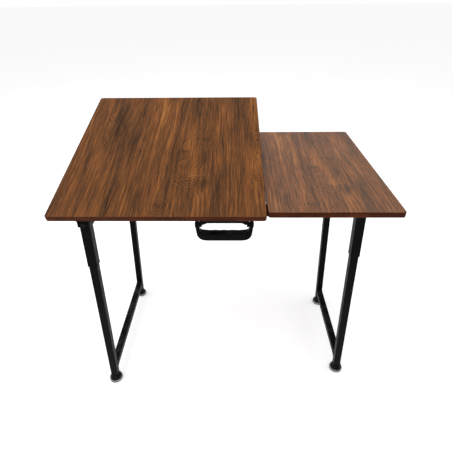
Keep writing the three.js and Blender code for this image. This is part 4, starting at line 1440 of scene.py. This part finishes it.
@dataclass
class BoardHinge:
    """A butt hinge between the front rail and the tilting board."""

    frame: Frame
    tools: Toolbox
    side: Side
    edge_radius: float = 0.35 * MM
    leaf_screw_reach: float = 24 * MM
    board_screw_from_axis: float = 20 * MM
    leaf_face_from_axis: float = 5 * MM
    rail_screw_drop: float = 12.5 * MM

    def build(self) -> None:
        """Builds the leaves, the pin and the screws of both leaves."""
        name = f"{self.side.word}_hinge"
        for part in ("board_leaf", "rail_leaf", "pin"):
            StampedPart(self.frame, f"{name}_{part}", ZINC, self.edge_radius).build()
        axis = Vector(self.frame.joints["tilt_top"]["pos_m"])
        middle = self.frame.box(f"{name}_pin").centre.x

        rail_face = Vector((middle, axis.y + self.leaf_face_from_axis, axis.z - self.rail_screw_drop))
        places = [rail_face + Vector((step * self.leaf_screw_reach, 0, 0)) for step in (-1, 1)]
        self.tools.add_screws(f"{name}_rail_screws", places, Vector((0, -1, 0)), ZINC,
                              self.frame.body(f"{name}_rail_leaf"))

        turn = Matrix.Rotation(self.frame.face_turn("left_board"), 3, "X")
        spot = turn @ Vector((0, -self.board_screw_from_axis, self.leaf_face_from_axis))
        places = [
            spot + Vector((middle + step * self.leaf_screw_reach, axis.y, axis.z))
            for step in (-1, 0, 1)
        ]
        self.tools.add_screws(f"{name}_board_screws", places, turn @ Vector((0, 0, -1)), ZINC,
                              self.frame.body(f"{name}_board_leaf"))


@dataclass
class TiltProp:
    """A prop arm with its bracket under the board and the notched rack it stands in."""

    frame: Frame
    tools: Toolbox
    side: Side
    edge_radius: float = 0.35 * MM
    bracket_screw_inset: float = 6 * MM
    base_screw_reach: float = 10 * MM
    base_plate: float = 2.0 * MM
    screw_bite: float = 0.3 * MM
    screw_head: float = 3.0 * MM

    def build(self) -> None:
        """Builds the bracket, the arm, the rack and the screws in the bracket's base."""
        word = self.side.word
        for part in ("prop_bracket", "prop_arm", "tilt_rack"):
            StampedPart(self.frame, f"{word}_{part}", ZINC, self.edge_radius).build()
        turn = self.frame.face_turn("left_board")
        rotation = Matrix.Rotation(turn, 3, "X")
        box = self.frame.box(f"{word}_prop_bracket", turn)
        inset = self.bracket_screw_inset
        inner_x = box.high.x - inset if self.side is Side.LEFT else box.low.x + inset
        under = box.high.z - self.base_plate + self.screw_bite
        places = [
            rotation @ Vector((inner_x, box.centre.y + step * self.base_screw_reach, under))
            for step in (-1, 1)
        ]
        self.tools.add_screws(f"{word}_prop_screws", places, rotation @ Vector((0, 0, -1)), ZINC,
                              self.frame.body(f"{word}_prop_bracket"), head_radius=self.screw_head)


@dataclass
class CarryHandle:
    """The moulded plate on the front rail and the bail that swings on it."""

    frame: Frame
    tools: Toolbox
    plate_thickness: float = 4.0 * MM
    plate_edge: float = 0.7 * MM
    bail_grain: float = 0.9 * MM
    bail_passes: int = 8
    screw_reach: float = 58 * MM
    screw_drop: float = 12 * MM
    screw_head: float = 4.0 * MM
    barrel_start: float = 65.9 * MM
    barrel_swell: float = 0.9 * MM
    barrel_foot: float = 1.0 * MM
    barrel_fillet: float = 2.0 * MM
    pivot_radius: float = 7.5 * MM

    def build(self) -> None:
        """Builds the plate, the bail with its pivot barrels, and the plate's screws."""
        plate_node, bail_node = "handle_plate", "handle_bail"
        StampedPart(self.frame, plate_node, HANDLE_PLASTIC, self.plate_edge).build()
        bail = melted_copy(self.frame.nodes[bail_node].data, self.bail_grain, self.bail_passes)
        add_piece(f"{bail_node}_moulded", bail, self.frame.body(bail_node), (HANDLE_PLASTIC,), (bail_node,))
        self.barrels(bail_node)
        plate = self.frame.box(plate_node)
        face_y = plate.high.y - self.plate_thickness
        height = plate.high.z - self.screw_drop
        places = [Vector((step * self.screw_reach, face_y, height)) for step in (-1, 1)]
        self.tools.add_screws("handle_screws", places, Vector((0, -1, 0)), BLACK_OXIDE,
                              self.frame.body(plate_node), head_radius=self.screw_head)

    def barrels(self, bail_node: str) -> None:
        """Builds the rounded barrels round the pivots at the bail's two ends."""
        box = self.frame.box(bail_node)
        radius = self.pivot_radius + self.barrel_swell
        length = box.high.x - self.barrel_start
        foot, fillet = self.barrel_foot, self.barrel_fillet
        profile = [(0.0, 0.0), (radius - foot, 0.0), (radius, foot), (radius, length - fillet)]
        profile += arc((radius - fillet, length - fillet), (fillet, fillet), 0, 90, 5)
        profile += [(0.0, length)]
        for side in Side:
            start = Vector((side.value * self.barrel_start, box.centre.y, box.high.z - self.pivot_radius))
            barrel = lathe(profile, facing_matrix(start, Vector((side.value, 0, 0))), 40)
            add_piece(f"handle_{side.word}_barrel", barrel, self.frame.body(bail_node), (HANDLE_PLASTIC,))


@dataclass
class Foot:
    """A levelling foot: a rubber pad, a dark chrome rim, a black cap and a threaded stem."""

    frame: Frame
    tools: Toolbox
    node_root: str
    steps: int = 64
    stem_steps: int = 24
    rim_height: float = 3.9 * MM
    rim_width: float = 2.6 * MM
    rim_fillet: float = 0.8 * MM
    rim_flat_inset: float = 0.6 * MM
    rim_seat: float = 0.9 * MM
    rim_undercut: float = 0.1 * MM
    cap_radius: float = 22.6 * MM
    cap_inset: float = 1.0 * MM
    cap_sink: float = 0.8 * MM
    cap_wall: float = 1.2 * MM
    neck_radius: float = 6.5 * MM
    stem_length: float = 16.0 * MM
    stem_radius: float = 3.7 * MM
    stem_sink: float = 1.0 * MM
    stem_chamfer: float = 0.5 * MM
    thread_radius: float = 3.6 * MM
    thread_wire: float = 0.38 * MM
    pad_lip: float = 0.9 * MM
    pad_waist: float = 0.5 * MM
    pad_fillet: float = 0.6 * MM
    lip_fillet: float = 1.0 * MM
    hollow: float = 0.4 * MM

    def rim_profile(self, outer: float, base: float) -> list[Point2]:
        """The rim's outline, rounded where it meets the pad and domed above."""
        fillet = self.rim_fillet
        radii = (self.rim_width - self.rim_undercut, self.rim_height)
        points = [(0.0, base), (outer - self.rim_flat_inset, base)]
        points += arc((outer - fillet, base + fillet), (fillet, fillet), -70, 20, 4)
        points += arc((outer - self.rim_width, base + self.rim_seat), radii, 15, 90, 8)
        return points + [(0.0, base + self.rim_height + self.rim_seat)]

    def cap_profile(self, base: float, shoulder: float) -> list[Point2]:
        """The cap's outline: a short wall and a dome up to the neck."""
        edge = self.cap_radius - self.cap_inset
        spring = base + self.cap_wall
        points = [(0.0, base), (edge, base)]
        points += arc((self.neck_radius, spring), (edge - self.neck_radius, shoulder - spring), 0, 90, 12)
        return points + [(0.0, shoulder)]

    def stem_profile(self, shoulder: float, top: float) -> list[Point2]:
        """The stem's outline, which starts inside the cap and ends in a chamfer."""
        base, radius, chamfer = shoulder - self.stem_sink, self.stem_radius, self.stem_chamfer
        return [(0.0, base), (radius, base), (radius, top - chamfer), (radius - chamfer, top), (0.0, top)]

    def tread_profile(self, radius: float, height: float) -> list[Point2]:
        """The pad's outline: a hollow sole, a lip on the floor, a waist and a rounded top."""
        lip, fillet = radius + self.pad_lip - self.lip_fillet, self.lip_fillet
        points = [(0.0, self.hollow), (radius * 0.55, self.hollow), (radius * 0.6, 0.0), (lip, 0.0)]
        points += arc((lip, fillet), (fillet, fillet), -60, 0, 4)
        points += [(radius - self.pad_waist, height * 0.45), (radius, height * 0.6)]
        fillet = self.pad_fillet
        points += arc((radius - fillet, height - fillet), (fillet, fillet), 0, 90, 3)
        return points + [(0.0, height)]

    def build(self) -> None:
        """Builds the rim, the cap, the stem with its thread, and the pad."""
        name = f"{self.node_root}_foot"
        dome_node, pad_node = f"{name}_dome", f"{name}_pad"
        dome, pad = self.frame.box(dome_node), self.frame.box(pad_node)
        body = self.frame.body(dome_node)
        axis = Matrix.Translation(Vector((dome.centre.x, dome.centre.y, 0)))
        base, top = dome.low.z, dome.high.z
        shoulder = top - self.stem_length

        rim = lathe(self.rim_profile(dome.size.x / 2, base), axis, self.steps)
        add_piece(f"{name}_rim", rim, body, (CHROME,))
        cap = lathe(self.cap_profile(base + self.rim_height - self.cap_sink, shoulder), axis, self.steps)
        add_piece(f"{name}_cap", cap, body, (GLOSS_CAP,), (dome_node,))
        stem = lathe(self.stem_profile(shoulder, top), axis, self.stem_steps)
        add_piece(f"{name}_stem", stem, body, (ZINC,))
        start = Placement(Vector((dome.centre.x, dome.centre.y, shoulder)), Vector((0, 0, 1)))
        thread = self.tools.threads.stand_on([start], ZINC, thread_radius=self.thread_radius,
                                             wire_radius=self.thread_wire)
        add_piece(f"{name}_thread", thread, body, (ZINC,))
        tread = lathe(self.tread_profile(pad.size.x / 2, pad.size.z), axis, self.steps)
        add_piece(f"{name}_tread", tread, body, (RUBBER,), (pad_node,))


@dataclass
class ClampKnob:
    """A ribbed hand screw that clamps the lower leg at its height."""

    frame: Frame
    tools: Toolbox
    node_root: str
    knob_length: float = 9 * MM
    shoulder: float = 2.5 * MM
    stem_radius: float = 3.0 * MM
    stem_point: float = 0.4 * MM
    neck_share: float = 0.62
    rib_depth: float = 1.4 * MM
    rib_gap: float = 0.05 * MM
    rib_height: float = 5.4 * MM
    lower_fillet: float = 0.8 * MM
    upper_fillet: float = 1.6 * MM
    dimple_depth: float = 0.6 * MM

    def profile(self, radius: float, length: float) -> list[Point2]:
        """The outline of the stem, the neck and the knob with a dimple in its face."""
        base = length - self.knob_length
        core, neck = radius - self.rib_depth, radius * self.neck_share
        lower, upper, floor = self.lower_fillet, self.upper_fillet, length - self.dimple_depth
        points = [(0.0, 0.0), (self.stem_radius, self.stem_point), (self.stem_radius, base)]
        points += [(neck, base), (neck, base + self.shoulder)]
        points += arc((core - lower, base + self.shoulder + lower), (lower, lower), -90, 0, 3)
        points += arc((core - upper, length - upper), (upper, upper), 0, 90, 5)
        return points + [(core * 0.55, length), (core * 0.45, floor), (0.0, floor)]

    def build(self) -> None:
        """Builds the knob on its stem and the ribs round it."""
        node = f"{self.node_root}_clamp_screw"
        box = self.frame.box(node)
        body = self.frame.body(node)
        radius, length = box.size.x / 2, box.size.y
        core = radius - self.rib_depth
        place = facing_matrix(Vector((box.centre.x, box.low.y, box.centre.z)), Vector((0, 1, 0)))
        knob = lathe(self.profile(radius, length), place)
        add_piece(f"{node}_knob", knob, body, (FITTING_PLASTIC,), (node,))
        rib_start = length - self.knob_length + self.shoulder
        start = Placement(place @ Vector((0, 0, rib_start)), Vector((0, 1, 0)))
        ribs = self.tools.ribs.stand_on([start], FITTING_PLASTIC, ring_radius=core,
                                        rib_radius=radius - core - self.rib_gap, rib_height=self.rib_height)
        add_piece(f"{node}_ribs", ribs, body, (FITTING_PLASTIC,))


@dataclass
class LegFrame:
    """One folding leg frame: brackets, telescopic legs, bars, clamps and feet."""

    frame: Frame
    tools: Toolbox
    side: Side
    bar_edge: float = 0.3 * MM
    tube_edge: float = 0.4 * MM
    fitting_edge: float = 0.5 * MM
    bead_radius: float = 1.3 * MM
    bead_inset: float = 0.4 * MM
    screw_from_pin: float = 14.0 * MM
    screw_below_top: float = 9.0 * MM
    screw_reach: float = 7.0 * MM
    screw_head: float = 2.8 * MM
    screw_head_height: float = 1.1 * MM
    screw_recess: float = 0.7 * MM

    def build(self) -> None:
        """Builds both legs and the bars between them."""
        word = self.side.word
        for bar in ("top_bar", "crossbar"):
            StampedPart(self.frame, f"{word}_{bar}", POWDER_COAT, self.bar_edge).build()
            self.weld(f"{word}_{bar}")
        for end in End:
            root = f"{word}_{end.word}"
            for part in ("leg_bracket", "upper_leg", "lower_leg"):
                StampedPart(self.frame, f"{root}_{part}", POWDER_COAT, self.tube_edge).build()
            StampedPart(self.frame, f"{root}_pivot_pin", BLACK_OXIDE, self.fitting_edge).build()
            StampedPart(self.frame, f"{root}_collar", FITTING_PLASTIC, self.fitting_edge).build()
            ClampKnob(self.frame, self.tools, root).build()
            Foot(self.frame, self.tools, root).build()
            self.bracket_screws(root)

    def weld(self, node: str) -> None:
        """Adds the weld beads at both ends of a bar."""
        loops = []
        for end in End:
            shift = Vector((0, -end.value * self.bead_inset, 0))
            loops.append([point + shift for point in self.frame.end_outline(node, end)])
        mesh = self.tools.welds.along(loops, POWDER_COAT, bead_radius=self.bead_radius)
        for face in mesh.polygons:
            face.use_smooth = True
        add_piece(f"{node}_welds", mesh, self.frame.body(node), (POWDER_COAT,))

    def bracket_screws(self, root: str) -> None:
        """Adds the two screws that hold a leg bracket, on its inner back plate."""
        bracket = f"{root}_leg_bracket"
        box = self.frame.box(bracket)
        pin = self.frame.box(f"{root}_pivot_pin")
        plate_x = pin.centre.x + self.side.value * self.screw_from_pin
        height = box.high.z - self.screw_below_top
        places = [Vector((plate_x, box.centre.y + step * self.screw_reach, height)) for step in (-1, 1)]
        self.tools.add_screws(f"{root}_bracket_screws", places, Vector((-self.side.value, 0, 0)), BLACK_OXIDE,
                              self.frame.body(bracket), head_radius=self.screw_head,
                              head_height=self.screw_head_height, recess_depth=self.screw_recess)


# ----------------------------------------------------------------------------------------------
# Studio
# ----------------------------------------------------------------------------------------------


@dataclass(frozen=True)
class SoftLight:
    """A large square lamp that looks at the table."""

    name: str
    place: tuple[float, float, float]
    size: float
    power: float


@dataclass
class Studio:
    """The pale floor, the soft lamps, the sky and the camera."""

    floor_half: float = 30.0
    floor_glow: float = 0.36
    camera_place: tuple[float, float, float] = (0.0217, -1.0899, 1.2322)
    pitch_deg: float = 32.83
    yaw_deg: float = -1.20
    roll_deg: float = -0.63
    lens_mm: float = 29.79
    sensor_mm: float = 36.0
    sight: float = 200.0
    look_at: tuple[float, float, float] = (0.0, 0.0, 0.65)
    lights: tuple[SoftLight, ...] = (
        SoftLight("overhead_lamp", (-0.5, -0.7, 3.6), 3.0, 52.0),
        SoftLight("left_lamp", (-3.2, 0.4, 1.8), 2.4, 22.0),
        SoftLight("right_lamp", (3.2, 0.4, 1.8), 2.4, 18.0),
    )

    def build(self) -> None:
        """Builds everything that isn't part of the table."""
        self.build_camera()
        self.build_floor()
        self.build_lights()
        self.build_sky()
        bpy.context.scene.view_settings.view_transform = "Standard"

    def build_camera(self) -> None:
        """Places the camera by its direction, with its roll."""
        pitch, yaw, roll = (math.radians(value) for value in (self.pitch_deg, self.yaw_deg, self.roll_deg))
        ahead = Vector((math.sin(yaw) * math.cos(pitch), math.cos(yaw) * math.cos(pitch), -math.sin(pitch)))
        right = Vector((math.cos(yaw), -math.sin(yaw), 0))
        above = right.cross(ahead)
        turned_right = right * math.cos(roll) + above * math.sin(roll)
        turned_above = above * math.cos(roll) - right * math.sin(roll)
        axes = Matrix((turned_right, turned_above, -ahead)).transposed().to_4x4()
        data = bpy.data.cameras.new("table_camera")
        data.sensor_width = self.sensor_mm
        data.lens = self.lens_mm
        data.clip_end = self.sight
        camera = bpy.data.objects.new("table_camera", data)
        camera.matrix_world = Matrix.Translation(Vector(self.camera_place)) @ axes
        bpy.context.scene.collection.objects.link(camera)
        bpy.context.scene.camera = camera

    def build_floor(self) -> None:
        """Lays the pale floor."""

        def fill(shape: bmesh.types.BMesh) -> None:
            """Adds a grid that is centred under the table."""
            bmesh.ops.create_grid(shape, x_segments=8, y_segments=8, size=self.floor_half)

        mesh = mesh_from(fill, smooth=False)
        if mesh.polygons[0].normal.z < 0:
            mesh.flip_normals()
        mesh.materials.append(new_material("pale_floor", self.wire_floor))
        floor = bpy.data.objects.new("floor", mesh)
        bpy.context.scene.collection.objects.link(floor)

    def wire_floor(self, wiring: Wiring, shader: bpy.types.Node) -> None:
        """Wires a matt white with faint clouds and a little light of its own."""
        cloud = wiring.noise(wiring.object_coordinates(), (1.5, 1.5, 1.5), 3.0)
        wiring.feed(shader.inputs["Base Color"], wiring.mix(cloud, paint("f6f6f6"), paint("fafafa")))
        shader.inputs["Roughness"].default_value = 0.9
        shader.inputs["Specular IOR Level"].default_value = 0.1
        shader.inputs["Emission Color"].default_value = (1.0, 1.0, 1.0, 1.0)
        shader.inputs["Emission Strength"].default_value = self.floor_glow

    def build_lights(self) -> None:
        """Hangs the soft lamps."""
        for light in self.lights:
            data = bpy.data.lights.new(light.name, "AREA")
            data.size = light.size
            data.energy = light.power
            lamp = bpy.data.objects.new(light.name, data)
            place = Vector(light.place)
            aim = (Vector(self.look_at) - place).to_track_quat("-Z", "Y").to_matrix().to_4x4()
            lamp.matrix_world = Matrix.Translation(place) @ aim
            bpy.context.scene.collection.objects.link(lamp)

    def build_sky(self) -> None:
        """Surrounds the studio with white that is a little darker overhead."""
        world = bpy.data.worlds.new("studio_white")
        world.use_nodes = True
        world.node_tree.nodes.clear()
        wiring = Wiring(world.node_tree)
        direction = wiring.node("ShaderNodeTexCoord").outputs["Generated"]
        height = wiring.node("ShaderNodeSeparateXYZ", {"Vector": direction}).outputs["Z"]
        level = wiring.smooth_step(height, 0.40, 0.75)
        colour = wiring.mix(level, (1.0, 1.0, 1.0, 1.0), (0.42, 0.42, 0.43, 1.0))
        background = wiring.node("ShaderNodeBackground", {"Color": colour, "Strength": 1.0})
        wiring.node("ShaderNodeOutputWorld", {"Surface": background.outputs[0]})
        bpy.context.scene.world = world


# ----------------------------------------------------------------------------------------------
# The table
# ----------------------------------------------------------------------------------------------


def main() -> None:
    """Builds the table piece by piece around its frame."""
    logging.basicConfig(level=logging.INFO, format="%(message)s")
    frame = Frame(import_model())
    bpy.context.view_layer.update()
    tools = Toolbox()
    left_width = frame.box("left_edge_band").size.x
    Studio().build()
    Board(frame, Side.LEFT, sheet_across=0.0, gloss_level=0.05).build()
    # The level right board gets painted sheen: its print is painted lighter than the tilted left board's, for
    # the light it reflects.
    Board(frame, Side.RIGHT, sheet_across=0.3 * left_width, gloss_level=0.30, fading=0.26).build()
    RailFrame(frame, tools).build()
    for side in Side:
        BoardHinge(frame, tools, side).build()
        TiltProp(frame, tools, side).build()
        LegFrame(frame, tools, side).build()
    CarryHandle(frame, tools).build()


if __name__ == "__main__":
    main()
